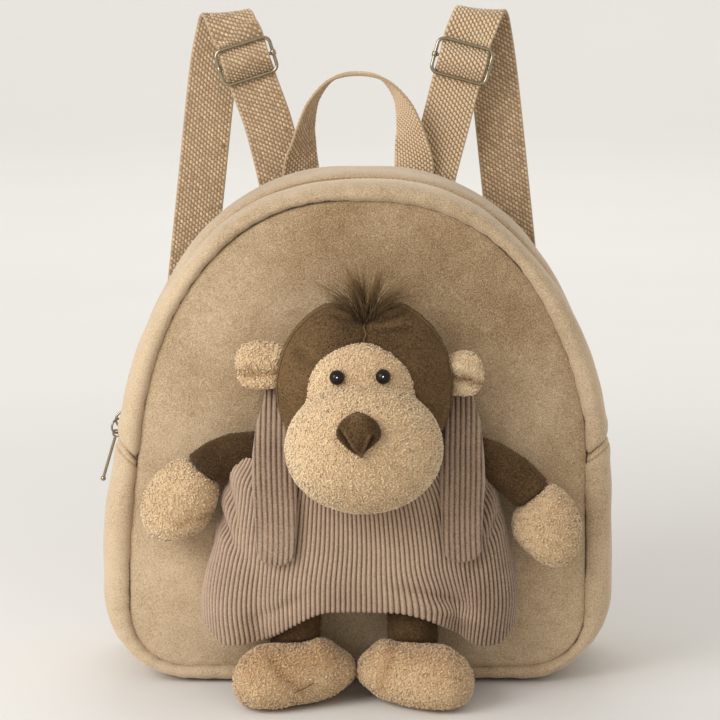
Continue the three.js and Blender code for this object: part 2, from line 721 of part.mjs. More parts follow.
// Arms and paws, row by row from the shoulder to the end of the paw
const armRows = {
  left: [
    { x: -34, y: -61, z: 117, wide: 19, deep: 15 },
    { x: -48, y: -61, z: 118, wide: 21, deep: 17 },
    { x: -59, y: -61.5, z: 117, wide: 21, deep: 17.5 },
    { x: -67.5, y: -62.5, z: 114, wide: 20.5, deep: 17.5 },
    { x: -73.6, y: -63.5, z: 110, wide: 20.5, deep: 17.5, slope: -130 },
  ],
  right: [
    { x: 36, y: -61, z: 117, wide: 18, deep: 15 },
    { x: 52, y: -61, z: 117, wide: 20, deep: 17 },
    { x: 64, y: -61.5, z: 113.5, wide: 20.5, deep: 17.5 },
    { x: 75, y: -62.5, z: 106.5, wide: 20.5, deep: 17.5 },
    { x: 83.6, y: -63.5, z: 98, wide: 20.5, deep: 17.5, slope: -51 },
  ],
};
const pawRows = {
  left: [
    { x: -73.85, y: -63.5, z: 109.7, wide: 21.5, deep: 18.5, slope: -130 },
    { x: -77, y: -64, z: 106, wide: 28, deep: 23 },
    { x: -81.5, y: -64.5, z: 100, wide: 34, deep: 27 },
    { x: -85.5, y: -65, z: 92, wide: 37, deep: 28 },
    { x: -88, y: -65, z: 84.5, wide: 34, deep: 27 },
    { x: -89.4, y: -65, z: 78.5, wide: 25, deep: 22 },
    { x: -90, y: -65, z: 74.6, wide: 12, deep: 12 },
  ],
  right: [
    { x: 83.83, y: -63.5, z: 97.7, wide: 21.5, deep: 18.5, slope: -51 },
    { x: 86, y: -64, z: 94, wide: 28, deep: 23 },
    { x: 88.6, y: -64.5, z: 88.5, wide: 33, deep: 27 },
    { x: 91, y: -65, z: 80.5, wide: 34, deep: 28 },
    { x: 92.6, y: -65, z: 73, wide: 30, deep: 26 },
    { x: 94, y: -65, z: 66.5, wide: 21, deep: 20 },
    { x: 94.6, y: -65, z: 62.6, wide: 10, deep: 10 },
  ],
};

// Legs and feet: the feet stand on the floor with their toes turned out
const legRows = {
  left: [
    { x: -27, y: -65, z: 62, wide: 22, deep: 18 },
    { x: -29, y: -64.5, z: 44, wide: 24, deep: 19 },
    { x: -30, y: -65, z: 30, wide: 25, deep: 20 },
    { x: -30.5, y: -66, z: 18, wide: 22, deep: 19 },
  ],
  right: [
    { x: 25, y: -65, z: 62, wide: 22, deep: 18 },
    { x: 26, y: -64.5, z: 44, wide: 24, deep: 19 },
    { x: 26.5, y: -65, z: 30, wide: 25, deep: 20 },
    { x: 27, y: -66, z: 18, wide: 22, deep: 19 },
  ],
};
const footRows = {
  left: [
    { x: -1.4, y: -72, z: 15.5, wide: 10, deep: 14 },
    { x: -4.4, y: -72.5, z: 15, wide: 19, deep: 25 },
    { x: -12, y: -74, z: 14.4, wide: 26, deep: 34 },
    { x: -25, y: -77, z: 13.4, wide: 30, deep: 40 },
    { x: -38, y: -80, z: 12.2, wide: 32, deep: 45 },
    { x: -48, y: -82, z: 11.6, wide: 29.5, deep: 42 },
    { x: -55, y: -83, z: 11.6, wide: 22, deep: 31 },
    { x: -59.2, y: -83.5, z: 11.6, wide: 9, deep: 14 },
  ],
  right: [
    { x: 0.6, y: -72, z: 15, wide: 10, deep: 14 },
    { x: 3.4, y: -72.5, z: 14.6, wide: 18.5, deep: 25 },
    { x: 10, y: -74, z: 14, wide: 26, deep: 34 },
    { x: 22, y: -77, z: 13, wide: 31, deep: 41 },
    { x: 34, y: -80.5, z: 12, wide: 32, deep: 46 },
    { x: 44, y: -83, z: 11.6, wide: 29.5, deep: 43 },
    { x: 51, y: -84, z: 11.6, wide: 22, deep: 31 },
    { x: 55.2, y: -84.5, z: 11.6, wide: 9, deep: 14 },
  ],
};

// Dress straps: corduroy tabs from behind the head, over the shoulder and down the front to a rounded end
const tabRows = {
  left: [
    { x: -39.2, y: -55.5, z: 151, wide: 9 },
    { x: -39.3, y: -59, z: 146, wide: 10 },
    { x: -39.4, y: -67, z: 134, wide: 17 },
    { x: -39.4, y: -74, z: 121, wide: 21 },
    { x: -39, y: -77.5, z: 108, wide: 22 },
    { x: -38.4, y: -82, z: 92, wide: 20 },
    { x: -38.3, y: -84, z: 79, wide: 18.5 },
    { x: -38.5, y: -84.8, z: 73.2, wide: 16.5 },
    { x: -38.7, y: -85, z: 69.8, wide: 11.5 },
    { x: -38.8, y: -85, z: 68.2, wide: 5 },
  ],
  right: [
    { x: 50.2, y: -55, z: 147, wide: 9 },
    { x: 50.2, y: -58.5, z: 142, wide: 11 },
    { x: 50, y: -65.5, z: 131, wide: 16 },
    { x: 49.6, y: -72, z: 119, wide: 19 },
    { x: 49.4, y: -75.5, z: 107, wide: 20 },
    { x: 49.2, y: -80.5, z: 92, wide: 19.5 },
    { x: 49.4, y: -82.5, z: 80, wide: 18 },
    { x: 49.7, y: -83, z: 74.4, wide: 16 },
    { x: 49.9, y: -83, z: 71.2, wide: 11.5 },
    { x: 50, y: -83, z: 69.6, wide: 5 },
  ],
};
const tabThickness = 3;
const tab = (rows) => limb(rows.map((row) => ({ ...row, deep: tabThickness })), { sides: 6 });

const headSolid = (grow) => plush(headForm, grow);
const arm = (side, grow) => limb(armRows[side], { sides: 12, grow });
const paw = (side) => limb(pawRows[side], { sides: 14 });
const leg = (side, grow) => limb(legRows[side], { sides: 10, grow });
const foot = (side, grow) => limb(footRows[side], { sides: 16, grow, floor: -grow });

const monkey = new THREE.Group();
monkey.add(piece("head", headSolid(0), finish.brownPlush));
monkey.add(piece("face", cut(faceSolid(0), headSolid(gap), dressBody(gap)), finish.sherpa));
monkey.add(piece("nose", cut(plush(noseForm), faceSolid(gap)), finish.brownPlush));
for (const { name, at } of eyeForms) {
  const ball = new THREE.SphereGeometry(eyeRadius, 8, 6).translate(...at);
  monkey.add(piece(name, cut(ball, faceSolid(gap)), finish.eyeGloss));
}
for (const form of earForms) {
  monkey.add(piece(form.name, cut(plush({ ...form, detail: 2 }), headSolid(gap)), finish.sherpa));
}
const rootForm = {
  at: [tuft.x, tuft.y, tuft.z],
  radii: [tuft.rootWidth, tuft.rootRadius, tuft.rootRadius],
  detail: 1,
};
const root = plush(rootForm);
monkey.add(piece("hair_tuft", cut(join(root, ...locks.map(lockShape)), headSolid(gap)), finish.hair));
const limbs = ["left", "right"].flatMap((side) => [arm(side, gap), leg(side, gap)]);
monkey.add(piece("torso", cut(torso, headSolid(gap), faceSolid(gap), ...limbs), finish.brownPlush));
monkey.add(piece("dress", cut(dressShell(), arm("left", gap), arm("right", gap)), finish.corduroy));
for (const side of ["left", "right"]) {
  const carriers = [dressBody(sewnGap), headSolid(gap), arm(side, gap)];
  monkey.add(piece(`dress_strap_${side}`, cut(tab(tabRows[side]), ...carriers), finish.corduroy));
  monkey.add(piece(`arm_${side}`, cut(arm(side, 0), headSolid(gap)), finish.brownPlush));
  monkey.add(piece(`paw_${side}`, paw(side), finish.sherpa));
  monkey.add(piece(`leg_${side}`, cut(leg(side, 0), foot(side, gap)), finish.brownPlush));
  monkey.add(piece(`foot_${side}`, foot(side, 0), finish.sherpa));
}

const backpack = new THREE.Group();
backpack.add(bagPieces, harness, monkey);

export default backpack;
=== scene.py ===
# Plush animal backpack: padded velour bag, webbing harness and the stuffed monkey sewn to its front
import math

import bmesh
import bpy
import numpy as np
from mathutils import Matrix, Vector
from mathutils.bvhtree import BVHTree


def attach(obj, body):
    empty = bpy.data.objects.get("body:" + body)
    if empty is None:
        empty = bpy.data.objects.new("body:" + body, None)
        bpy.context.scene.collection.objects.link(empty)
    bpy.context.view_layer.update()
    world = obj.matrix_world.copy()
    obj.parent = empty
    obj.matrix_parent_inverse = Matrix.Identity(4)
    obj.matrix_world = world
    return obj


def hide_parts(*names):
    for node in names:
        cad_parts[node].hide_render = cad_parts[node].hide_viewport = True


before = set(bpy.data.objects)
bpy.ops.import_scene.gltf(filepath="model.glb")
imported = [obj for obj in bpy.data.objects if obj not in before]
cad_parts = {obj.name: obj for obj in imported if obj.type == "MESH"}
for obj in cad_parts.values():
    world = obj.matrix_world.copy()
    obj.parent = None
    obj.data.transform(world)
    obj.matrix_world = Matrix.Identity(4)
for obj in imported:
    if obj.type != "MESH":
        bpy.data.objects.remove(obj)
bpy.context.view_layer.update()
scene = bpy.context.scene
mm = 0.001  # the tables below are in millimetres


# Shared tools

def unit(vectors):
    return vectors / np.linalg.norm(vectors, axis=-1, keepdims=True)


def mix(low, high, share):
    return low + (high - low) * share


def smoothStep(value, low, high):
    share = np.clip((value - low) / (high - low), 0, 1)
    return share * share * (3 - 2 * share)


def hill(value, middle, width):
    return np.exp(-((value - middle) / width) ** 2)


def column(rows, name):
    return np.array([row[name] for row in rows], dtype=float)


def waves(points, length, seed, count=10):
    # soft noise of about -1 to 1, from plane waves in seeded directions
    draw = np.random.default_rng(seed)
    total = np.zeros(points.shape[:-1])
    for _ in range(count):
        way = draw.normal(size=3)
        way *= 2 * math.pi / (np.linalg.norm(way) * length * draw.uniform(0.7, 1.4))
        total += np.sin(points @ way + draw.uniform(0, 2 * math.pi))
    return total * 0.85 / math.sqrt(count)


def smoothPath(points, perSpan):
    # a smooth curve through the points, with perSpan steps to each span
    ends = np.vstack([2 * points[0] - points[1], points, 2 * points[-1] - points[-2]])
    knots = np.sqrt(np.linalg.norm(np.diff(ends, axis=0), axis=1))
    t = np.arange(perSpan)[:, None] / perSpan
    spans = []
    for i in range(len(points) - 1):
        p0, p1, p2, p3 = ends[i:i + 4]
        k0, k1, k2 = knots[i:i + 3]
        leave = ((p1 - p0) / k0 - (p2 - p0) / (k0 + k1) + (p2 - p1) / k1) * k1
        arrive = ((p2 - p1) / k1 - (p3 - p1) / (k1 + k2) + (p3 - p2) / k2) * k1
        start = (2 * t ** 3 - 3 * t ** 2 + 1) * p1 + (t ** 3 - 2 * t ** 2 + t) * leave
        spans.append(start + (3 * t ** 2 - 2 * t ** 3) * p2 + (t ** 3 - t ** 2) * arrive)
    return np.vstack(spans + [points[-1:]])


def readAt(at, run, values):
    # rows of values, read at places along a run
    return np.stack([np.interp(at, run, part) for part in values.T], -1)


def evenSteps(path, count, *others):
    # the path and what goes with it, read again at equal distances
    run = np.concatenate([[0], np.cumsum(np.linalg.norm(np.diff(path, axis=0), axis=1))])
    at = np.linspace(0, run[-1], count + 1)
    return [readAt(at, run, values) for values in (path, *others)], run[-1]


def tableNormals(table, wrap=False):
    padded = np.concatenate([table[:, -2:-1], table, table[:, 1:2]], axis=1) if wrap else table
    along, across = np.gradient(padded, axis=(0, 1))
    normals = np.cross(across, along)
    normals /= np.maximum(np.linalg.norm(normals, axis=-1, keepdims=True), 1e-9)
    return normals[:, 1:-1] if wrap else normals


def sheetMesh(name, table, tones=None, shut=False):
    # a grid laid on a table of points, rows by columns; shut closes open ends
    rows, columns = table.shape[0] - 1, table.shape[1] - 1
    bm = bmesh.new()
    bmesh.ops.create_grid(bm, x_segments=columns, y_segments=rows, size=0.5)
    layer = bm.verts.layers.float.new("tone")
    for vert in bm.verts:
        i = round((vert.co.x + 0.5) * columns)
        j = round((vert.co.y + 0.5) * rows)
        vert.co = table[j, i] * mm
        vert[layer] = 0.5 if tones is None else tones[j, i]
    bmesh.ops.remove_doubles(bm, verts=bm.verts[:], dist=2e-6)
    bmesh.ops.dissolve_degenerate(bm, edges=bm.edges[:], dist=1e-7)
    if shut:
        rim = [edge for edge in bm.edges if edge.is_boundary]
        bmesh.ops.holes_fill(bm, edges=rim, sides=0)
    bmesh.ops.recalc_face_normals(bm, faces=bm.faces[:])
    return toMesh(name, bm)


def toMesh(name, bm):
    for face in bm.faces:
        face.smooth = True
    mesh = bpy.data.meshes.new(name)
    bm.to_mesh(mesh)
    bm.free()
    return mesh


def addPiece(name, mesh, finish, slot, *replaced):
    piece = bpy.data.objects.new(name, mesh)
    scene.collection.objects.link(piece)
    mesh.materials.clear()
    mesh.materials.append(finish)
    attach(piece, "root")
    if replaced:
        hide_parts(*replaced)
    return piece


def finishedMesh(name, carrier):
    # what an object's modifiers or bevel make of it, without the object
    scene.collection.objects.link(carrier)
    ready = carrier.evaluated_get(bpy.context.evaluated_depsgraph_get())
    mesh = bpy.data.meshes.new_from_object(ready)
    bpy.data.objects.remove(carrier)
    mesh.name = name
    return mesh


def shapedCopy(name, node, voxel, relax, grow=0.0, back=0.0):
    # a fine even copy of a CAD solid, smoothed, grown or shrunk along its normals, and thicker at its back
    bm = bmesh.new()
    bm.from_mesh(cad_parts[node].data)
    bmesh.ops.remove_doubles(bm, verts=bm.verts[:], dist=1e-5)
    if back:
        second = bmesh.ops.duplicate(bm, geom=bm.verts[:] + bm.edges[:] + bm.faces[:])["geom"]
        corners = [part for part in second if isinstance(part, bmesh.types.BMVert)]
        bmesh.ops.translate(bm, verts=corners, vec=(0, back * mm, 0))
    carrier = bpy.data.objects.new(name, toMesh(name, bm))
    even = carrier.modifiers.new("even", "REMESH")
    even.mode = "VOXEL"
    even.voxel_size = voxel * mm
    even.use_smooth_shade = True
    soften = carrier.modifiers.new("soften", "SMOOTH")
    soften.factor = 0.5
    soften.iterations = relax
    mesh = finishedMesh(name, carrier)
    if grow:
        movePoints(mesh, lambda points, normals: points + normals * grow)
    return mesh


def meshPoints(mesh):
    points = np.empty(len(mesh.vertices) * 3)
    mesh.vertices.foreach_get("co", points)
    normals = np.array([normal.vector[:] for normal in mesh.vertex_normals])
    return points.reshape(-1, 3) / mm, normals


def movePoints(mesh, change):
    points, normals = meshPoints(mesh)
    mesh.vertices.foreach_set("co", (change(points, normals) * mm).ravel())
    mesh.update()


def fillTone(mesh, tone):
    tones = np.broadcast_to(tone, len(mesh.vertices)).astype(float)
    mesh.attributes.new("tone", "FLOAT", "POINT").data.foreach_set("value", tones)


def hitTree(mesh):
    corners = [vert.co for vert in mesh.vertices]
    return BVHTree.FromPolygons(corners, [face.vertices for face in mesh.polygons])


def seenAt(tree, x, z):
    # the place and normal where a mesh is first met from the front
    wellInFront = -400
    spot, normal, _, _ = tree.ray_cast(Vector((x, wellInFront, z)) * mm, Vector((0, 1, 0)))
    return spot, normal


def laidOn(tree, line, lift):
    # a line as seen from the front, put on a mesh and lifted off it
    path = []
    for x, z in line:
        spot, normal = seenAt(tree, x, z)
        if spot:
            path.append(np.array(spot) / mm + np.array(normal) * lift)
    return np.array(path)


def scatterOn(mesh, perSquare, seed, keep=None):
    # seeded points spread evenly over a mesh, with their normals
    draw = np.random.default_rng(seed)
    points, normals = meshPoints(mesh)
    mesh.calc_loop_triangles()
    corners = np.empty(len(mesh.loop_triangles) * 3, dtype=int)
    mesh.loop_triangles.foreach_get("vertices", corners)
    corners = corners.reshape(-1, 3)
    a, b, c = (points[corners[:, k]] for k in range(3))
    areas = np.linalg.norm(np.cross(b - a, c - a), axis=1) / 2
    count = int(areas.sum() * perSquare)
    steps = (np.arange(count) + draw.random(count)) / count
    chosen = np.searchsorted(np.cumsum(areas) / areas.sum(), steps)
    chosen = corners[np.minimum(chosen, len(corners) - 1)]
    first = np.sqrt(draw.random(count))[:, None]
    second = draw.random(count)[:, None]
    shares = (1 - first, first * (1 - second), first * second)
    places = sum(share * points[chosen[:, k]] for k, share in enumerate(shares))
    facing = unit(sum(share * normals[chosen[:, k]] for k, share in enumerate(shares)))
    if keep is not None:
        kept = keep(places, facing)
        places, facing = places[kept], facing[kept]
    return places, facing


def standingAxes(facing, tilt, seed):
    # for each normal a turned and tilted set of axes, x y z in rows
    draw = np.random.default_rng(seed)
    up = unit(facing + draw.normal(size=facing.shape) * tilt)
    side = unit(np.cross(up, draw.normal(size=facing.shape)))
    return np.stack([side, np.cross(up, side), up], 1)


def manyCopies(name, shape, places, axes, sizes, tones):
    # one mesh of many copies of a small shape; tone is lighter towards each copy's top and darker at its
    # foot: painted light and shade
    corners = np.array([vert.co[:] for vert in shape.verts])
    loops = np.array([vert.index for face in shape.faces for vert in face.verts])
    starts = np.cumsum([0] + [len(face.verts) for face in shape.faces])[:-1]
    count, size = len(places), len(corners)
    spread = np.einsum("vk,nkj->nvj", corners, axes * sizes[:, None, None]) + places[:, None]
    mesh = bpy.data.meshes.new(name)
    mesh.vertices.add(count * size)
    mesh.vertices.foreach_set("co", (spread * mm).ravel())
    mesh.loops.add(count * len(loops))
    number = np.arange(count)[:, None]
    mesh.loops.foreach_set("vertex_index", (loops[None] + number * size).ravel())
    mesh.polygons.add(count * len(starts))
    mesh.polygons.foreach_set("loop_start", (starts[None] + number * len(loops)).ravel())
    mesh.polygons.foreach_set("use_smooth", np.ones(count * len(starts), dtype=bool))
    height = (corners[:, 2] - corners[:, 2].min()) / max(np.ptp(corners[:, 2]), 1e-9)
    tone = np.clip(tones[:, None] + (height[None] - 0.5) * 0.6, -0.6, 1)
    mesh.attributes.new("tone", "FLOAT", "POINT").data.foreach_set("value", tone.ravel())
    mesh.update(calc_edges=True)
    shape.free()
    return mesh


def wireMesh(name, paths, radius, closed=False, taper=None, roundness=2):
    # round wires along lists of points, through one bevelled curve
    curve = bpy.data.curves.new(name, "CURVE")
    curve.dimensions = "3D"
    curve.bevel_depth = radius * mm
    curve.bevel_resolution = roundness
    curve.use_fill_caps = not closed
    for path in paths:
        spline = curve.splines.new("POLY")
        spline.points.add(len(path) - 1)
        spline.points.foreach_set("co", np.column_stack([path * mm, np.ones(len(path))]).ravel())
        if taper is not None:
            spline.points.foreach_set("radius", taper)
        spline.use_cyclic_u = closed
        spline.use_smooth = True
    mesh = finishedMesh(name, bpy.data.objects.new(name, curve))
    bpy.data.curves.remove(curve)
    return mesh


def bead():
    bm = bmesh.new()
    bmesh.ops.create_icosphere(bm, subdivisions=1, radius=1)
    bm.verts.index_update()
    return bm


# Finishes

class Wire:
    # one socket of a material; arithmetic on it adds Math nodes
    def __init__(self, tree, socket=None):
        self.tree = tree
        self.socket = socket

    def node(self, kind, settings=None, sockets=None, output=0):
        made = self.tree.nodes.new("ShaderNode" + kind)
        for key, value in (settings or {}).items():
            if key == "stops":
                setStops(made.color_ramp, value)
            else:
                setattr(made, key, value)
        for key, value in (sockets or {}).items():
            if isinstance(value, Wire):
                self.tree.links.new(value.socket, made.inputs[key])
            else:
                made.inputs[key].default_value = value
        return Wire(self.tree, made.outputs[output])

    def maths(self, operation, first, second):
        return self.node("Math", {"operation": operation}, {0: first, 1: second})

    def __add__(self, other):
        return self.maths("ADD", self, other)

    def __radd__(self, other):
        return self.maths("ADD", other, self)

    def __sub__(self, other):
        return self.maths("SUBTRACT", self, other)

    def __rsub__(self, other):
        return self.maths("SUBTRACT", other, self)

    def __mul__(self, other):
        return self.maths("MULTIPLY", self, other)

    def __rmul__(self, other):
        return self.maths("MULTIPLY", other, self)

    def blend(self, factor, first, second):
        settings = {"data_type": "RGBA", "clamp_factor": True}
        return self.node("Mix", settings, {0: factor, 6: first, 7: second}, 2)

    def noise(self, place, scale, detail, roughness):
        sockets = {"Vector": place, "Scale": scale, "Detail": detail, "Roughness": roughness}
        return self.node("TexNoise", None, sockets)


def setStops(ramp, stops):
    while len(ramp.elements) > 1:
        ramp.elements.remove(ramp.elements[-1])
    for i, (at, colour) in enumerate(stops):
        element = ramp.elements[0] if i == 0 else ramp.elements.new(at)
        element.position = at
        element.color = colour


def tint(code):
    parts = [int(code[i:i + 2], 16) / 255 for i in (1, 3, 5)]
    linear = [part / 12.92 if part <= 0.04045 else ((part + 0.055) / 1.055) ** 2.4 for part in parts]
    return (*linear, 1.0)


def newFinish(name):
    material = bpy.data.materials.new(name)
    material.use_nodes = True
    shader = material.node_tree.nodes["Principled BSDF"]
    start = Wire(material.node_tree)
    return material, shader, start, start.node("TexCoord", None, None, "Object")


def feed(shader, values):
    for key, value in values.items():
        if isinstance(value, Wire):
            value.tree.links.new(value.socket, shader.inputs[key])
        else:
            shader.inputs[key].default_value = value


velourLook = {"light": "#d1ba9b", "deep": "#947957", "seam": "#5f4a34", "grain": (1500.0, 3.0, 0.75),
              "nap": (22.0, 3.0, 0.55), "streak": (132.0, 2.0, 0.5), "mix": (2.8, 0.8, 0.4), "deepAt": 0.4,
              "bump": (0.35, 0.0006), "sheen": 0.6, "sheenRough": 0.45, "sheenTint": "#fff3e2", "gloss": 0.2}


def velourFinish():
    # a seam tone below the two tones of the cloth, for the dark stitches and for painted shade in the seams,
    # with grain, nap and streaks mixed in
    material, shader, start, place = newFinish("velour")
    grain, nap, streak = (start.noise(place, *velourLook[kind]) for kind in ("grain", "nap", "streak"))
    tone = start.node("Attribute", {"attribute_name": "tone"}, None, "Fac")
    grainMix, napMix, streakMix = velourLook["mix"]
    share = tone + (grain - 0.5) * grainMix + (nap - 0.5) * napMix + (streak - 0.5) * streakMix
    deepAt = velourLook["deepAt"]
    stops = [(at, tint(velourLook[kind])) for at, kind in ((0, "seam"), (deepAt, "deep"), (1, "light"))]
    strength, distance = velourLook["bump"]
    feed(shader, {
        "Base Color": start.node("ValToRGB", {"stops": stops}, {0: share * (1 - deepAt) + deepAt}),
        "Roughness": 0.92 - nap * 0.1,
        "Normal": start.node("Bump", None, {"Strength": strength, "Distance": distance, "Height": grain}),
        "Sheen Weight": velourLook["sheen"],
        "Sheen Roughness": velourLook["sheenRough"],
        "Sheen Tint": tint(velourLook["sheenTint"]),
        "Specular IOR Level": velourLook["gloss"],
    })
    return material


webbingLook = {"light": "#e3c9a6", "deep": "#866b4e", "tone": 1.0, "lift": 0.0, "fine": (1800.0, 2.0, 0.6),
               "fineMix": 0.5, "rough": (0.85, -0.1), "bump": (0.4, 0.0003), "sheen": 0.2, "sheenRough": 0.5,
               "gloss": 0.2}
plushLook = {"light": "#7f6444", "deep": "#3f2e1c", "tone": 0.7, "lift": 0.1, "fine": (1500.0, 3.0, 0.75),
             "fineMix": 3.0, "broad": (60.0, 3.0, 0.55), "broadMix": 0.7, "rough": (0.95, -0.1),
             "bump": (0.6, 0.0007), "sheen": 0.5, "sheenRough": 0.4, "sheenTint": "#c9a67a", "gloss": 0.15}
sherpaLook = {"light": "#f8e0b8", "deep": "#b48b5e", "tone": 1.0, "lift": 0.0, "fine": (1500.0, 2.0, 0.6),
              "fineMix": 0.0, "broad": (90.0, 2.0, 0.5), "broadMix": 0.3, "rough": (0.95, -0.1),
              "bump": (0.3, 0.0005), "sheen": 0.35, "sheenRough": 0.5, "gloss": 0.15}
corduroyLook = {"light": "#c6ab92", "deep": "#5e493a", "tone": 1.0, "lift": 0.0, "fine": (1300.0, 3.0, 0.65),
                "fineMix": 1.1, "broad": (55.0, 2.0, 0.5), "broadMix": 0.35, "rough": (0.93, -0.1),
                "bump": (0.4, 0.0004), "sheen": 0.4, "sheenRough": 0.45, "gloss": 0.15}
zipTapeLook = {"light": "#cdb08a", "deep": "#8d7150", "tone": 0.7, "lift": 0.15, "fine": (1400.0, 2.0, 0.6),
               "fineMix": 0.6, "rough": (0.75, 0.1), "bump": (0.3, 0.0003), "sheen": 0.0, "sheenRough": 0.5,
               "gloss": 0.5}


def clothFinish(name, look):
    # two tones of cloth, mixed by the piece's own tone with a fine noise and a broad one
    material, shader, start, place = newFinish(name)
    fine = start.noise(place, *look["fine"])
    broad = start.noise(place, *look["broad"]) if "broad" in look else fine
    tone = start.node("Attribute", {"attribute_name": "tone"}, None, "Fac")
    share = tone * look["tone"] + look["lift"] + (fine - 0.5) * look["fineMix"]
    share = share + (broad - 0.5) * look.get("broadMix", 0.0)
    base, change = look["rough"]
    strength, distance = look["bump"]
    feed(shader, {
        "Base Color": start.blend(share, tint(look["deep"]), tint(look["light"])),
        "Roughness": base + broad * change,
        "Normal": start.node("Bump", None, {"Strength": strength, "Distance": distance, "Height": fine}),
        "Sheen Weight": look["sheen"],
        "Sheen Roughness": look["sheenRough"],
        "Sheen Tint": tint(look.get("sheenTint", "#ffffff")),
        "Specular IOR Level": look["gloss"],
    })
    return material


nickelLook = {"bright": "#b0a690", "worn": "#857a64", "wear": (420.0, 3.0, 0.6), "rough": (0.15, 0.12)}


def nickelFinish():
    material, shader, start, place = newFinish("nickel")
    wear = start.noise(place, *nickelLook["wear"])
    base, change = nickelLook["rough"]
    feed(shader, {
        "Base Color": start.blend(wear, tint(nickelLook["worn"]), tint(nickelLook["bright"])),
        "Metallic": 1.0,
        "Roughness": base + wear * change,
    })
    return material


hairLook = {"root": "#42311f", "tip": "#957850", "rootZ": 0.184, "perMetre": 38.0,
            "strand": (700.0, 1.0, 0.5), "strandMix": 0.7, "rough": (0.6, 0.2), "gloss": 0.2}


def hairFinish():
    # lighter with height above the roots, and from strand to strand
    material, shader, start, place = newFinish("hair")
    height = start.node("SeparateXYZ", None, {0: place}, "Z")
    strand = start.noise(place, *hairLook["strand"])
    share = (height - hairLook["rootZ"]) * hairLook["perMetre"] + (strand - 0.5) * hairLook["strandMix"]
    base, change = hairLook["rough"]
    feed(shader, {
        "Base Color": start.blend(share, tint(hairLook["root"]), tint(hairLook["tip"])),
        "Roughness": base + strand * change,
        "Specular IOR Level": hairLook["gloss"],
    })
    return material


eyeLook = {"dark": "#080605", "light": "#120d0a", "smear": (300.0, 2.0, 0.5), "rough": (0.06, 0.05),
           "gloss": 0.22}


def eyeFinish():
    material, shader, start, place = newFinish("eyeGloss")
    smear = start.noise(place, *eyeLook["smear"])
    base, change = eyeLook["rough"]
    feed(shader, {
        "Base Color": start.blend(smear, tint(eyeLook["dark"]), tint(eyeLook["light"])),
        "Roughness": base + smear * change,
        "Specular IOR Level": eyeLook["gloss"],
    })
    return material


velour = velourFinish()
webbing = clothFinish("webbing", webbingLook)
nickel = nickelFinish()
plush = clothFinish("brownPlush", plushLook)
sherpa = clothFinish("sherpa", sherpaLook)
corduroy = clothFinish("corduroy", corduroyLook)
hairPile = hairFinish()
eyeGloss = eyeFinish()
zipTape = clothFinish("zipTape", zipTapeLook)
print("finishes made")


# Bag outline: flat base, round corners, short straight sides and an arch, as seen from the front

bag = {"width": 250, "height": 248, "corner": 44, "widestAt": 58, "archPower": 2.35, "joint": 0.261,
       "frontY": -43.5, "backY": 43.5, "seamBottom": 7.5, "seamSide": 14, "seamTop": 11.4, "seamRisesBy": 45,
       "archSeam": (85, 135), "sway": 2.2, "swayOver": (70, 160), "waist": 2.4, "waistAt": (120, 30),
       "skewOut": 8.0, "skewIn": 1.0, "skewReach": 30, "dropOver": (130, 225), "endReach": 14,
       "endSteps": 26}


def outlineLoop():
    half = bag["width"] / 2
    corner = bag["corner"]
    turn = np.linspace(0, math.pi / 2, 500)
    power = 2 / bag["archPower"]
    rise = bag["height"] - bag["widestAt"]
    x = np.concatenate([[0], half - corner + corner * np.sin(turn), half * np.cos(turn) ** power])
    z = np.concatenate([[0], corner - corner * np.cos(turn), bag["widestAt"] + rise * np.sin(turn) ** power])
    x = np.concatenate([x, -x[-2::-1]])
    z = np.concatenate([z, z[-2::-1]])
    waist = np.where(x < 0, bag["waist"] * hill(z, *bag["waistAt"]), 0)
    x = x + bag["sway"] * smoothStep(z, *bag["swayOver"]) + waist
    run = np.concatenate([[0], np.cumsum(np.hypot(np.diff(x), np.diff(z)))])
    return run, x, z


outlineRun, outlineX, outlineZ = outlineLoop()
outlineLength = outlineRun[-1]


def outlinePoint(u):
    run = (u % 1) * outlineLength
    return np.stack([np.interp(run, outlineRun, outlineX), np.interp(run, outlineRun, outlineZ)], -1)


def outlineAt(u):
    # places on the outline and the way out of the bag there
    # u runs once round from the base, right side first
    near = 0.002
    run = unit(outlinePoint(u + near) - outlinePoint(u - near))
    return outlinePoint(u), np.stack([run[..., 1], -run[..., 0]], -1)


def seamAt(z):
    low = mix(bag["seamBottom"], bag["seamSide"], smoothStep(z, 0, bag["seamRisesBy"]))
    return low + (bag["seamTop"] - bag["seamSide"]) * smoothStep(z, *bag["archSeam"])


def slantAt(u):
    # how far a place near a side joint slides along the outline, so that the joints run aslant
    side = np.where(u % 1 < 0.5, 1.0, -1.0)
    fromJoint = np.abs(np.where(u % 1 < 0.5, u % 1, 1 - u % 1) - bag["joint"]) * outlineLength
    return side * hill(fromJoint, 0, bag["skewReach"]) / outlineLength


def bandTable(profile, u, perSpan=3, drop=0.0):
    # a band round the outline; a profile row is a depth y and an inset as a share of the seam's inset
    rows = np.array(profile, dtype=float) * [1, bag["seamSide"]]
    line = smoothPath(rows, perSpan)
    share = np.clip(line[:, 1] / bag["seamSide"], 0, 1)[None]
    place, out = outlineAt(u[:, None] + slantAt(u)[:, None] * mix(bag["skewOut"], bag["skewIn"], share))
    z = place[..., 1]
    inset = share * seamAt(z) + drop * (1 - share) * smoothStep(z, *bag["dropOver"])
    x = place[..., 0] - out[..., 0] * inset
    z = place[..., 1] - out[..., 1] * inset
    return np.stack([x, np.broadcast_to(line[:, 0], x.shape), z], -1)


def bandSteps(start, end, count):
    # even steps with finer ones near the two ends
    fine = bag["endReach"] / outlineLength
    ends = np.linspace(0, fine, bag["endSteps"], endpoint=False)
    return np.concatenate([start + ends, np.linspace(start + fine, end - fine, count), end - ends[::-1]])


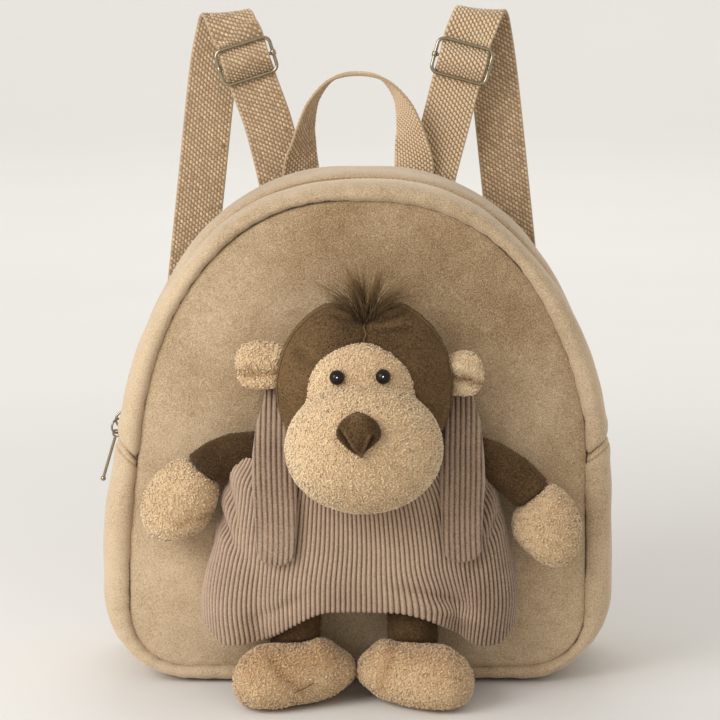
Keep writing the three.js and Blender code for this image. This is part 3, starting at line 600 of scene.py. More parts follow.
padding = {"lump": 0.45, "lumpLengths": (55, 22), "fineLump": 0.35, "pucker": 0.16, "puckerLength": 11,
           "puckerReach": 6, "tuck": (1.0, 1.6), "roll": (0.5, 6.5, 3.5), "tone": 0.5, "patch": (0.08, 40),
           "jointShade": (0.6, 0.8), "leftPaintedLight": (0.4, 30, 110), "rightPaintedLight": (0.2, 70, 115),
           "stitchAt": 3.6, "stitchDip": (0.5, 0.7), "stitchShade": (0.5, 0.6)}


def ripple(along, table):
    # uneven puckers along a seam
    return np.sin(along / padding["puckerLength"] * 2 * math.pi + 2 * waves(table, 60, 9))


def paddedBand(name, band):
    # a padded band with soft lumps, small puckers along its front seam and rolled ends at the side joints
    u, seed = band["steps"], band["seed"]
    table = bandTable(band["profile"], u, drop=band["drop"])
    normals = tableNormals(table, wrap=True)
    middle = table.mean(axis=1, keepdims=True)
    normals *= np.sign(((table - middle) * normals).sum(-1, keepdims=True).mean())
    broad, fine = padding["lumpLengths"]
    swell = padding["lump"] * waves(table, broad, seed)
    swell = swell + padding["fineLump"] * padding["lump"] * waves(table, fine, seed + 1)
    run = (u * outlineLength)[:, None]
    nearSeam = hill(table[..., 1], bag["frontY"], padding["puckerReach"])
    swell = swell + padding["pucker"] * nearSeam * ripple(run, table)
    ends = np.minimum(run - run[0], run[-1] - run)
    tuck, tuckWidth = padding["tuck"]
    roll, rollAt, rollWidth = padding["roll"]
    swell = swell - tuck * hill(ends, 0, tuckWidth) + roll * hill(ends, rollAt, rollWidth)
    # painted shade at the side joints and along the stitch line, painted light towards both sides
    patch, patchLength = padding["patch"]
    dark, darkWidth = padding["jointShade"]
    tones = padding["tone"] + patch * waves(table, patchLength, seed + 2) - dark * hill(ends, 0, darkWidth)
    for way, (light, start, end) in ((-1, padding["leftPaintedLight"]), (1, padding["rightPaintedLight"])):
        tones = tones + light * smoothStep(way * table[..., 0], start, end)
    if band["stitched"]:
        dip, dipWidth = padding["stitchDip"]
        shade, shadeWidth = padding["stitchShade"]
        swell = swell - dip * hill(ends, padding["stitchAt"], dipWidth)
        tones = tones - shade * hill(ends, padding["stitchAt"], shadeWidth)
    table = table + normals * swell[..., None]
    table[..., 2] = np.maximum(table[..., 2], 0)
    return sheetMesh(name, table, tones, shut=True)


frontRoll = [(-39.5, 1.0), (-42.8, 1.0), (-44.6, 0.94), (-45.8, 0.8), (-46, 0.58), (-44.9, 0.37),
             (-42, 0.18), (-37, 0.05), (-31, 0)]
frontLining = [(-28, 0.26), (-38, 0.38), (-41, 0.64), (-39.5, 1.0)]
backRoll = [(28, 0), (37, 0.06), (41.5, 0.2), (43.3, 0.42), (42.4, 0.66)]
backLining = [(39.4, 0.62), (38, 0.36), (28, 0.24)]
rimProfile = frontRoll + [(-24, 0.04), (-18, 0.13), (-14.8, 0.24), (-13.6, 0.33), (-15, 0.42)]
rimProfile += frontLining
rearProfile = [(-3.4, 0.42), (-4.5, 0.33), (-3.2, 0.2), (2, 0.09), (12, 0.03)] + backRoll + backLining
rearProfile += [(2, 0.33), (-3.4, 0.42)]
lowerProfile = frontRoll + backRoll + backLining + frontLining

upperSteps = bandSteps(bag["joint"], 1 - bag["joint"], 220)
jointGap = 0.0004  # as a share of the outline
lowerSteps = bandSteps(jointGap - bag["joint"], bag["joint"] - jointGap, 240)
bands = {
    "padded_rim": {"node": "front_rim", "profile": rimProfile, "steps": upperSteps, "seed": 3, "drop": 2.4,
                   "stitched": False, "fill": 0.6},
    "padded_band": {"node": "rear_band", "profile": rearProfile, "steps": upperSteps, "seed": 5, "drop": 0.0,
                    "stitched": False, "fill": 0.4},
    "padded_gusset": {"node": "lower_gusset", "profile": lowerProfile, "steps": lowerSteps, "seed": 7,
                      "drop": 0.0, "stitched": True, "fill": 0.5},
}
for name, band in bands.items():
    piece = addPiece(name, paddedBand(name, band), velour, "velour", band["node"])
print("bag bands made")


# Panels: rings that shrink towards the middle, with a lining behind

panelLook = {"middleZ": 90, "rise": 8, "power": 4, "thickness": 3, "gap": 0.05, "seamDip": (0.5, 2.0),
             "lumps": ((0.9, 80, 11), (0.35, 33, 12)), "lumpsFrom": 12, "puckerAt": (5, 5), "liningRise": 5,
             "tone": 0.48, "topShade": 0.3, "leftPaintedLight": 0.25, "rightPaintedLight": 0.2, "patch": (0.1, 70, 13)}
backLook = {"inset": 0.66, "edgeDrop": (1.4, 14), "crown": 1.8, "crownOver": (0.1, 0.75),
            "lump": (0.3, 60, 14), "lumpOver": (0.1, 0.3)}
roundSteps = np.linspace(0, 1, 361)


def panelEdge(insetShare):
    place, out = outlineAt(roundSteps)
    inset = seamAt(place[:, 1]) * insetShare + panelLook["gap"]
    edge = place - out * inset[:, None]
    edge[-1] = edge[0]
    return edge


frontEdge = panelEdge(1.0)


def panelShare(x, z):
    # how far a point lies from the panel's middle, as a share of the way to its edge
    edgeX, edgeZ = frontEdge[:-1, 0], frontEdge[:-1, 1] - panelLook["middleZ"]
    way = np.arctan2(edgeX, edgeZ)
    order = np.argsort(way)
    up = z - panelLook["middleZ"]
    reach = np.interp(np.arctan2(x, up), way[order], np.hypot(edgeX, edgeZ)[order], period=2 * math.pi)
    return np.hypot(x, up) / reach


def panelFace(x, z):
    share = np.minimum(panelShare(x, z), 1)
    return bag["frontY"] - panelLook["rise"] * (1 - share ** panelLook["power"])


def panelTable(edge, shares, depths):
    middle = np.array([0, panelLook["middleZ"]])
    spread = middle + (edge - middle)[None] * shares[:, None, None]
    y = np.broadcast_to(depths[:, None], spread.shape[:2])
    return np.stack([spread[..., 0], y, spread[..., 1]], -1)


def frontPanelMesh():
    shares = np.concatenate([np.linspace(0, 0.9, 32), np.linspace(0.91, 1, 14)])
    depths = bag["frontY"] - panelLook["rise"] * (1 - shares ** panelLook["power"])
    table = panelTable(frontEdge, shares, depths)
    reach = np.hypot(frontEdge[:, 0], frontEdge[:, 1] - panelLook["middleZ"])
    fromEdge = (1 - shares)[:, None] * reach[None]
    swell = sum(height * waves(table, length, seed) for height, length, seed in panelLook["lumps"])
    swell *= smoothStep(fromEdge, 0, panelLook["lumpsFrom"])
    along = (roundSteps * outlineLength)[None]
    swell += padding["pucker"] * ripple(along, table) * hill(fromEdge, *panelLook["puckerAt"])
    dip, dipWidth = panelLook["seamDip"]
    swell -= dip * hill(fromEdge, 0, dipWidth)
    # painted shade under the arch, painted light low down at both sides
    x, z = table[..., 0], table[..., 2]
    tones = panelLook["tone"] - panelLook["topShade"] * hill(z, 215, 75) * smoothStep(x, -120, 10)
    tones += panelLook["leftPaintedLight"] * smoothStep(-x, 20, 100) * smoothStep(z, 110, 30)
    tones += panelLook["rightPaintedLight"] * smoothStep(x, 40, 100) * smoothStep(z, 130, 40)
    patch, patchLength, patchSeed = panelLook["patch"]
    tones += patch * waves(table, patchLength, patchSeed)
    table[..., 1] -= swell
    behind = np.array([1, 0.99, 0.6, 0])
    lining = panelTable(frontEdge, behind, np.full(4, bag["frontY"] + panelLook["thickness"]))
    lining[2:, :, 1] -= panelLook["liningRise"]
    table = np.concatenate([table, lining])
    tones = np.concatenate([tones, np.full(lining.shape[:2], 0.5)])
    table[:, -1] = table[:, 0]
    return sheetMesh("padded_front", table, tones)


def backPanelMesh():
    edge = panelEdge(backLook["inset"])
    shares = np.concatenate([np.linspace(0, 0.9, 16), np.linspace(0.92, 1, 6)])
    drop, dropPower = backLook["edgeDrop"]
    crowned = backLook["crown"] * (1 - smoothStep(shares, *backLook["crownOver"]))
    table = panelTable(edge, shares, bag["backY"] - drop * shares ** dropPower + crowned)
    lump, lumpLength, lumpSeed = backLook["lump"]
    inner = smoothStep(1 - shares, *backLook["lumpOver"])[:, None]
    table[..., 1] += lump * waves(table, lumpLength, lumpSeed) * inner
    lining = panelTable(edge, np.array([1, 0.5, 0]), np.full(3, bag["backY"] - panelLook["thickness"]))
    table = np.concatenate([table, lining])
    table[:, -1] = table[:, 0]
    return sheetMesh("padded_back", table)


frontPanel = addPiece("padded_front", frontPanelMesh(), velour, "velour", "front_panel")
backPanel = addPiece("padded_back", backPanelMesh(), velour, "velour", "back_panel")


# Seam round the front: a row of small dark stitches in the fold, their darkness partly thread colour and
# partly painted shade of the fold

seamLook = {"pitch": 2.2, "stitch": (0.85, 0.2, 0.24), "out": 0.35, "depth": 0.1, "tone": -0.35}


def seamLine(outwards, count):
    steps = np.arange(count) / count
    place, out = outlineAt(steps)
    line = place - out * (seamAt(place[:, 1]) - outwards)[:, None]
    return np.stack([line[:, 0], np.full(count, bag["frontY"] - seamLook["depth"]), line[:, 1]], -1)


def seamStitches():
    count = int(outlineLength / seamLook["pitch"])
    places = seamLine(seamLook["out"], count)
    along = unit(np.roll(places, -1, 0) - places)
    front = np.broadcast_to([0, -1.0, 0], along.shape)
    axes = np.stack([along, np.cross(front, along), front], 1) * np.array(seamLook["stitch"])[None, :, None]
    # dark tone: thread colour and painted shade in the fold
    tones = np.full(count, seamLook["tone"])
    return manyCopies("seam_stitches", bead(), places, axes, np.ones(count), tones)


addPiece("seam_stitches", seamStitches(), velour, "velour")
print("bag panels made")


# Zip: tape in the recess, two rows of coil teeth, slider with ring and pull bar

zipLook = {"middleY": -9, "toothPitch": 1.35, "slider": 0.7255, "coilInset": 0.25, "toothInset": 0.29,
           "toothOff": 1.1, "tooth": (1.7, 0.55, 0.75), "toothTone": 0.7, "endGap": 0.002}
chainProfile = [(-13.15, 0.34), (-11.2, 0.32), (-9, 0.31), (-6.8, 0.32), (-4.85, 0.34), (-4.85, 0.45),
                (-9, 0.44), (-13.15, 0.45), (-13.15, 0.34)]
chainMesh = sheetMesh("zip_tape", bandTable(chainProfile, upperSteps, 2), shut=True)
addPiece("zip_tape", chainMesh, zipTape, "zip_tape", "zip_chain")


def zipTeeth():
    count = int((1 - 2 * bag["joint"]) * outlineLength / zipLook["toothPitch"])
    steps = np.linspace(bag["joint"] + zipLook["endGap"], 1 - bag["joint"] - zipLook["endGap"], count)
    place, out = outlineAt(steps)
    along = unit(np.gradient(place, axis=0))
    inset = seamAt(place[:, 1]) * zipLook["toothInset"]
    at = place - out * inset[:, None]
    side = np.where(np.arange(count) % 2, 1.0, -1.0)
    places = np.stack([at[:, 0], zipLook["middleY"] + zipLook["toothOff"] * side, at[:, 1]], -1)
    flat = np.zeros(count)
    wide, long, high = zipLook["tooth"]
    axes = np.stack([np.stack([flat, np.ones(count), flat], -1) * wide,
                     np.stack([along[:, 0], flat, along[:, 1]], -1) * long,
                     np.stack([out[:, 0], flat, out[:, 1]], -1) * high], 1)
    tones = np.full(count, zipLook["toothTone"])
    return manyCopies("zip_coil", bead(), places, axes, np.ones(count), tones)


addPiece("zip_coil", zipTeeth(), zipTape, "zip_tape")

pullLook = {"ring": 3.6, "ringWire": 0.55, "ringTurn": 45, "rise": 2.9, "swing": 6.5, "eye": 1.6,
            "eyeWire": 0.55, "bar": 0.75, "length": 25, "ball": 1.35, "bridge": 4.2, "bridgeWire": 0.6,
            "body": (2, 6.5, 8), "bevel": 0.6, "seat": 0.7, "play": 0.35}


def nickelPiece(name, parts, setting, node):
    joined = bmesh.new()
    for part in parts:
        joined.from_mesh(part)
    joined.transform(setting)
    addPiece(name, toMesh(name, joined), nickel, "nickel", node)


def circle(radius, count, plane):
    turn = np.linspace(0, 2 * math.pi, count, endpoint=False)
    flat = np.zeros(count)
    parts = {"yz": (flat, np.cos(turn), np.sin(turn)), "xz": (np.cos(turn), flat, np.sin(turn))}
    return np.stack(parts[plane], -1) * radius


def zipPull():
    place, out = outlineAt(np.array([zipLook["slider"]]))
    inset = zipLook["coilInset"] * bag["seamSide"] - pullLook["seat"] - pullLook["body"][0]
    at = place[0] - out[0] * inset
    turn = Matrix.Rotation(math.atan2(-out[0][1], out[0][0]), 4, "Y")
    setting = Matrix.Translation(Vector((at[0], zipLook["middleY"], at[1])) * mm) @ turn
    rise = pullLook["rise"]
    tilt = math.radians(pullLook["ringTurn"])
    ring = circle(pullLook["ring"], 40, "yz")
    ring = np.stack([-ring[:, 1] * math.sin(tilt), ring[:, 1] * math.cos(tilt), ring[:, 2]], -1)
    ring += [rise, 0, pullLook["ring"]]
    eyeAt = 2 * pullLook["ring"] - pullLook["ringWire"] - pullLook["play"] - pullLook["eyeWire"]
    eyeAt += pullLook["eye"]
    eye = circle(pullLook["eye"], 24, "xz") + [rise, 0, eyeAt]
    rodEnd = eyeAt + pullLook["length"] - pullLook["ball"]
    slope = math.tan(math.radians(pullLook["swing"]))
    rodSteps = np.linspace(eyeAt + pullLook["eye"], rodEnd, 10)
    rod = np.array([[rise + (z - eyeAt) * slope, 0, z] for z in rodSteps])
    ball = bmesh.new()
    end = Matrix.Translation(Vector(rod[-1]) * mm)
    bmesh.ops.create_uvsphere(ball, u_segments=16, v_segments=10, radius=pullLook["ball"] * mm,
                              matrix=end)
    body = bmesh.new()
    size = pullLook["body"]
    behind = Matrix.Translation((-size[0] / 2 * mm, 0, 0))
    bmesh.ops.create_cube(body, size=mm, matrix=behind @ Matrix.Diagonal((*size, 1)))
    bmesh.ops.bevel(body, geom=body.edges[:], affect="EDGES", offset=pullLook["bevel"] * mm, segments=3,
                    profile=0.5, material=-1)
    arch = circle(pullLook["bridge"], 40, "xz")
    arch = np.roll(arch, 10, axis=0)[:21]  # the half that stands out of the body
    groups = {
        "zip_slider_body": [toMesh("slider", body), wireMesh("arch", [arch], pullLook["bridgeWire"])],
        "zip_ring": [wireMesh("ring", [ring], pullLook["ringWire"], closed=True, roundness=3)],
        "zip_pull": [wireMesh("eye", [eye], pullLook["eyeWire"], closed=True),
                     wireMesh("rod", [rod], pullLook["bar"], roundness=3), toMesh("ball", ball)],
    }
    for (name, parts), node in zip(groups.items(), ("zip_slider", "zip_pull_ring", "zip_pull_bar")):
        nickelPiece(name, parts, setting, node)


zipPull()
print("zip made")


# Webbing: flat strips with a woven face of small grains

strapLook = {"width": 24.4, "thickness": 2, "columns": 15, "pitch": 2.5, "tilt": 24}
handleLook = {"width": 20, "thickness": 2, "columns": 13, "pitch": 2.2, "tilt": 14,
              "shade": (-0.16, 0.45, 0.5)}
stripLook = {"step": 1.5, "under": 0.35, "tone": 0.1, "selvedge": 0.66, "selvedgeIn": 0.5,
             "selvedgeTone": 0.45}
grainLook = {"sides": 5, "foot": 1.03, "top": 0.57, "cover": 0.98, "sunk": 0.45, "long": 0.66, "wide": 0.64,
             "high": 0.75, "tone": 0.5, "vary": 0.13, "turnsWithin": 0.04}
handleY = 44.85
handleLeg = [(28.8, 228, 0, 0), (28.9, 240, 16, 6), (28.7, 249, 34, 15), (27.6, 257, 52, 33),
             (26.4, 266, 65, 50), (22, 280, 78, 71), (12.6, 290.5, 86, 86)]  # x, z, left turn, right turn
handleTop = (0, handleY, 293.2)


def handleRows():
    left = [(-x, z, math.radians(turn)) for x, z, turn, _ in handleLeg]
    right = [(x, z, math.radians(turn)) for x, z, _, turn in reversed(handleLeg)]
    rows = [((x, handleY, z), (math.cos(turn), math.sin(turn), 0)) for x, z, turn in left]
    rows.append((handleTop, (0, 1, 0)))
    return rows + [((x, handleY, z), (-math.cos(turn), math.sin(turn), 0)) for x, z, turn in right]


strapY = 48.25
buckle = {"x": 53, "y": 45.9, "z": 299.5, "width": 30.5, "height": 20, "corner": 3.6, "wire": 0.95,
          "bar": 0.9, "sleeve": 1.45, "sleeveLength": 2.6, "sleeveTaper": 0.82}
throughBuckle = [(-12.5, 48.75), (-9, 49.25), (-1.4, 43.35), (1.4, 43.35), (9, 49.25), (12.5, 48.75)]
strapBelow = [(35, 0, 226, 12), (38.8, 0, 244, 14), (45.2, 0, 269, 15.5)]
strapAbove = [(69, 15.4, 300, -7), (77.7, 15, 225, -7.5), (87.5, 19, 140, -7.5)]
strapEnd = [(96.5, 13, 68, -7.5), (100.6, -2.15, 36, -7.5), (102.4, -3.4, 20, -7.5)]
# in the rows above: x, distance behind strapY, z, lean; throughBuckle: distance along, y
strapFold = {"radius": 8.2, "front": 0.6, "slide": 8.0, "tilt": 5}  # the turn over the top, aslant
strapSides = {
    "left": {"side": -1, "below": 0.9, "buckle": 3.5, "above": 4.5, "end": 3.5, "lean": 17.5,
             "fold": (62.6, 315.2), "shade": (-0.18, -0.18, 0.25)},
    "right": {"side": 1, "below": 0, "buckle": 0, "above": 0, "end": 0, "lean": 15,
              "fold": (58.4, 317), "shade": (0.45, -0.2, 0.25)},
}  # shade: painted light and shade, the weave's tone before and after a share of the way


def foldRows(strap):
    tilt = math.radians(strapFold["tilt"])
    radius = strapFold["radius"]
    lead = math.atan2(strapFold["slide"], math.pi * radius)
    axis = np.array([math.cos(tilt), 0, -math.sin(tilt)])
    rise = np.array([math.sin(tilt), 0, math.cos(tilt)])
    back = np.array([0, 1, 0])
    start = np.array([strap["fold"][0], strapY + strapFold["front"], strap["fold"][1]])
    rows = []
    for turn in np.linspace(0, math.pi, 7):
        at = start + axis * strapFold["slide"] * turn / math.pi
        at = at + rise * radius * math.sin(turn) + back * radius * (1 - math.cos(turn))
        way = rise * math.cos(turn) + back * math.sin(turn)
        rows.append((at, axis * math.cos(lead) - way * math.sin(lead)))
    return rows


def strapRows(strap):
    # up from the bag, through the buckle, over the fold and down to the lower corner
    def flatRows(stretch, shift):
        leans = [math.radians(row[3]) for row in stretch]
        return [((x + shift, strapY + depth, z), (math.cos(lean), 0, -math.sin(lean)))
                for (x, depth, z, _), lean in zip(stretch, leans)]

    lean = math.radians(strap["lean"])
    middle = [(buckle["x"] + along * math.sin(lean), y - strapY, buckle["z"] + along * math.cos(lean),
               strap["lean"]) for along, y in throughBuckle]
    rows = flatRows(strapBelow, strap["below"]) + flatRows(middle, strap["buckle"]) + foldRows(strap)
    rows += flatRows(strapAbove, strap["above"]) + flatRows(strapEnd, strap["end"])
    mirror = np.array([strap["side"], 1, 1])
    return [(mirror * at, mirror * across) for at, across in rows]


def stripFrames(rows, step):
    # even steps along a strip: its middle, the way it runs, its width and its face
    middles = smoothPath(np.array([row[0] for row in rows], dtype=float), 30)
    number = np.linspace(0, len(rows) - 1, len(middles))
    across = np.array([row[1] for row in rows], dtype=float)
    turned = readAt(number, np.arange(len(rows)), across)
    length = np.linalg.norm(np.diff(middles, axis=0), axis=1).sum()
    (middles, turned), length = evenSteps(middles, int(length / step), turned)
    run = unit(np.gradient(middles, axis=0))
    side = unit(turned - (turned * run).sum(-1, keepdims=True) * run)
    return middles, run, side, np.cross(run, side), length


def stripMesh(name, frames, look):
    middles, _, side, up, _ = frames
    edge = [(-1, 0.3), (-1, -0.3), (-0.98, -0.75), (-0.94, -1), (-0.5, -1), (0, -1), (0.5, -1), (0.94, -1),
            (0.98, -0.75), (1, -0.3), (1, 0.3), (0.98, 0.75), (0.94, 1), (0.5, 1), (0, 1), (-0.5, 1),
            (-0.94, 1), (-0.98, 0.75), (-1, 0.3)]
    section = np.array(edge) * [look["width"] / 2, look["thickness"] / 2 - stripLook["under"]]
    table = middles[:, None] + side[:, None] * section[None, :, :1] + up[:, None] * section[None, :, 1:]
    # the strip under the grains is toned dark: painted shade in the gaps between grains
    return sheetMesh(name, table, np.full(table.shape[:2], stripLook["tone"]), shut=True)


def grain():
    bm = bmesh.new()
    bmesh.ops.create_cone(bm, cap_ends=True, segments=grainLook["sides"], radius1=grainLook["foot"],
                          radius2=grainLook["top"], depth=1)
    under = [face for face in bm.faces if face.normal.z < -0.9]
    bmesh.ops.delete(bm, geom=under, context="FACES_ONLY")
    bmesh.ops.triangulate(bm, faces=bm.faces[:])
    bm.verts.index_update()
    return bm


def weaveMesh(name, frames, look, seed, shade):
    # rows of leaning grains on both faces, each column half a grain on from the last
    middles, run, side, up, length = frames
    draw = np.random.default_rng(seed)
    number = np.arange(len(middles))
    perRow = look["pitch"] / (length / (len(middles) - 1))
    tilt = math.radians(look["tilt"])
    columnPitch = look["width"] * grainLook["cover"] / look["columns"]
    raised = look["thickness"] / 2 - grainLook["sunk"]
    places, axes, shares = [], [], []
    for face in (1, -1):
        for k in range(look["columns"]):
            at = np.arange(1 + 0.5 * (k % 2), len(middles) / perRow - 1.2) * perRow
            middle, ahead = [readAt(at, number, values) for values in (middles, run)]
            sideways, out = [readAt(at, number, values) for values in (side, up)]
            shares.append(at / number[-1])
            offset = (k + 0.5) * columnPitch - look["width"] * grainLook["cover"] / 2
            lean = tilt * face
            places.append(middle + sideways * offset + out * face * raised)
            long = ahead * math.cos(lean) + sideways * math.sin(lean)
            wide = sideways * math.cos(lean) - ahead * math.sin(lean)
            axes.append(np.stack([long * look["pitch"] * grainLook["long"],
                                  wide * columnPitch * grainLook["wide"],
                                  out * face * grainLook["high"]], 1))
    places = np.vstack(places)
    axes = np.vstack(axes)
    # painted light and shade: the tone steps from one level to another part way along the strip
    start, end, turnsAt = shade
    within = grainLook["turnsWithin"]
    tones = grainLook["tone"] + grainLook["vary"] * draw.normal(size=len(places))
    tones += mix(start, end, smoothStep(np.concatenate(shares), turnsAt - within, turnsAt + within))
    return manyCopies(name, grain(), places, axes, np.ones(len(places)), tones)


boxStitch = {"from": 3.2, "to": 15.5, "half": 0.37, "pitch": 2.3, "size": (0.95, 0.3, 0.35), "tone": -0.5,
             "lift": 0.1}


def stitchBoxes(name, frames, look):
    # a crossed box of stitches at each end of a strip, on the face away from the bag
    middles, run, side, up, length = frames
    number = np.arange(len(middles))
    half = look["width"] * boxStitch["half"]
    low, high = boxStitch["from"], boxStitch["to"]
    lines = [((low, -half), (low, half)), ((high, -half), (high, half)), ((low, -half), (high, -half)),
             ((low, half), (high, half)), ((low, -half), (high, half)), ((low, half), (high, -half))]
    places, axes = [], []
    for start, end in lines:
        way = np.subtract(end, start) / math.dist(start, end)
        count = int(math.dist(start, end) / boxStitch["pitch"])
        spots = np.array(start) + (np.arange(count)[:, None] + 0.5) / count * np.subtract(end, start)
        for turned in (False, True):
            at = spots[:, 0] * number[-1] / length
            at = number[-1] - at if turned else at
            middle, ahead, wide, face = [readAt(at, number, values) for values in (middles, run, side, up)]
            face = face * np.sign(face[:, 1:2])
            long = (-ahead if turned else ahead) * way[0] + wide * way[1]
            raised = look["thickness"] / 2 + boxStitch["lift"]
            places.append(middle + wide * spots[:, 1:] + face * raised)
            axes.append(np.stack([long, np.cross(face, long), face], 1))
    axes = np.vstack(axes) * np.array(boxStitch["size"])[None, :, None]
    tones = np.full(len(axes), boxStitch["tone"])
    return manyCopies(name, bead(), np.vstack(places), axes, np.ones(len(axes)), tones)


def webbingStrip(name, node, rows, look, seed, shade):
    frames = stripFrames(rows, stripLook["step"])
    middles, _, side, _, length = frames
    strip = addPiece(name, stripMesh(name, frames, look), webbing, "webbing", node)
    edges = [middles + side * end * (look["width"] / 2 - stripLook["selvedgeIn"]) for end in (-1, 1)]
    ends = [np.linspace(edges[0][i], edges[1][i], 6) for i in (0, -1)]
    selvedge = wireMesh(name + "_selvedge", edges + ends, stripLook["selvedge"], roundness=1)
    fillTone(selvedge, stripLook["selvedgeTone"])
    selvedge = addPiece(name + "_selvedge", selvedge, webbing, "webbing")
    weave = weaveMesh(name + "_weave", frames, look, seed, shade)
    weave = addPiece(name + "_weave", weave, webbing, "webbing")
    stitches = stitchBoxes(name + "_stitches", frames, look)
    stitches = addPiece(name + "_stitches", stitches, webbing, "webbing")
    length * mm


webbingStrip("handle_webbing", "top_handle", handleRows(), handleLook, 21, handleLook["shade"])
for seed, (name, strap) in enumerate(strapSides.items(), 22):
    webbingStrip("strap_webbing_" + name, "strap_" + name, strapRows(strap), strapLook, seed, strap["shade"])
print("webbing made")


# Slide buckles: a wire frame with round corners and a centre bar crimped round its sides

def roundRectangle(width, height, radius, steps):
    points = []
    for quarter, (sideX, sideZ) in enumerate(((1, 1), (-1, 1), (-1, -1), (1, -1))):
        for i in range(steps + 1):
            turn = (quarter + i / steps) * math.pi / 2
            points.append((sideX * (width / 2 - radius) + radius * math.cos(turn), 0,
                           sideZ * (height / 2 - radius) + radius * math.sin(turn)))
    return np.array(points)


def slideBuckle(name, strap):
    span = buckle["width"] - 2 * buckle["wire"]
    loop = roundRectangle(span, buckle["height"] - 2 * buckle["wire"], buckle["corner"], 8)
    rod = np.stack([np.linspace(-span / 2, span / 2, 12), np.zeros(12), np.zeros(12)], -1)
    reach = buckle["sleeveLength"] / 2
    sleeve = [np.array([[end * span / 2, 0, z] for z in (-reach, -reach * 0.8, 0, reach * 0.8, reach)])
              for end in (-1, 1)]
    taper = [buckle["sleeveTaper"], 1, 1, 1, buckle["sleeveTaper"]]
    spot = Vector((strap["side"] * (buckle["x"] + strap["buckle"]), buckle["y"], buckle["z"]))
    lean = Matrix.Rotation(strap["side"] * math.radians(strap["lean"]), 4, "Y")
    setting = Matrix.Translation(spot * mm) @ lean
    groups = {
        "buckle_wire_": [wireMesh("frame", [loop], buckle["wire"], closed=True, roundness=3)],
        "buckle_rod_": [wireMesh("rod", [rod], buckle["bar"], roundness=3),
                        wireMesh("sleeve", sleeve, buckle["sleeve"], taper=taper, roundness=3)],
    }
    for (label, parts), node in zip(groups.items(), ("buckle_frame_", "buckle_bar_")):
        nickelPiece(label + name, parts, setting, node + name)


for name, strap in strapSides.items():
    slideBuckle(name, strap)
print("buckles made")


# Sherpa: a soft base with small curls standing on it

# the base is toned darker than the curls on it: painted shade between the curls
sherpaBase = {"voxel": 1.6, "grow": -0.5, "tone": 0.4}
sherpaCurl = {"radius": 0.37, "tube": 0.33, "sides": 3, "turn": 185, "steps": 2, "rise": 0.12, "tilt": 0.7,
              "sizes": (0.75, 1.35), "tone": 0.58, "vary": 0.1}
sherpaSeen = {"panelY": -46, "panelFacing": 0.82, "floorZ": 1.5, "floorFacing": -0.85, "headY": -72,
              "headFacing": 0.55}


def curl():
    bm = bmesh.new()
    start = Matrix.Translation((sherpaCurl["radius"], 0, 0))
    bmesh.ops.create_circle(bm, segments=sherpaCurl["sides"], radius=sherpaCurl["tube"], matrix=start)
    bmesh.ops.spin(bm, geom=bm.verts[:] + bm.edges[:], cent=(0, 0, 0), axis=(0, -1, 0),
                   dvec=(0, sherpaCurl["rise"], 0), angle=math.radians(sherpaCurl["turn"]),
                   steps=sherpaCurl["steps"])
    bmesh.ops.recalc_face_normals(bm, faces=bm.faces[:])
    bm.verts.index_update()
    return bm


def sherpaPiece(name, node, seed, keep, shape, shade, perSquare=1.05, size=1.15, relax=8, back=0.0):
    base = shapedCopy(name, node, sherpaBase["voxel"], relax, sherpaBase["grow"], back)
    movePoints(base, shape)
    # shade paints light and shade on the base and the curls alike
    fillTone(base, sherpaBase["tone"] + shade(meshPoints(base)[0]))
    places, facing = scatterOn(base, perSquare, seed, keep)
    draw = np.random.default_rng(seed + 1)
    sizes = draw.uniform(*sherpaCurl["sizes"], len(places)) * size
    tones = sherpaCurl["tone"] + sherpaCurl["vary"] * draw.normal(size=len(places)) + shade(places)
    axes = standingAxes(facing, sherpaCurl["tilt"], seed + 2)
    curls = manyCopies(name + "_curls", curl(), places, axes, sizes, tones)
    piece = addPiece(name, base, sherpa, "sherpa", node)
    addPiece(name + "_curls", curls, sherpa, "sherpa")


def offPanel(points, normals):
    # no curls where a piece lies on the panel or the floor
    clear = (points[:, 1] < sherpaSeen["panelY"]) & (points[:, 2] > sherpaSeen["floorZ"])
    return clear & (normals[:, 1] < sherpaSeen["panelFacing"]) & (normals[:, 2] > sherpaSeen["floorFacing"])


def offHead(points, normals):
    return (points[:, 1] < sherpaSeen["headY"]) & (normals[:, 1] < sherpaSeen["headFacing"])


ears = {
    "left": {"at": (-46.5, 160.5), "half": (12, 12.6), "crease": (-0.25, 0.12, 0.05, 0.16), "depth": 1.6,
             "roll": 0.9, "square": 0.5, "inward": (1, 6), "line": 0.3, "lift": 0.0},
    "right": {"at": (50.4, 157), "half": (9.8, 11.8), "crease": (-0.12, -0.1, -0.2, 0.17), "depth": 4.0,
              "roll": 2.6, "square": 0.25, "inward": (-1, 3), "line": 0.5, "lift": 0.15},
}  # crease: level, bow, slope and width; line: painted shade in the fold; lift: painted light over the whole ear
earLook = {"inwardOver": (0.1, 0.9), "front": (-0.1, 0.5), "foldAt": -0.05, "lineWidth": 0.12,
           "rollAt": (0.42, 0.32), "rollPaintedLight": (0.1, 0.4, 0.3)}


def earFold(ear, points):
    x = (points[:, 0] - ear["at"][0]) / ear["half"][0]
    z = (points[:, 2] - ear["at"][1]) / ear["half"][1]
    level, bow, slope, _ = ear["crease"]
    return x, z, z - level - bow * x ** 2 - slope * x


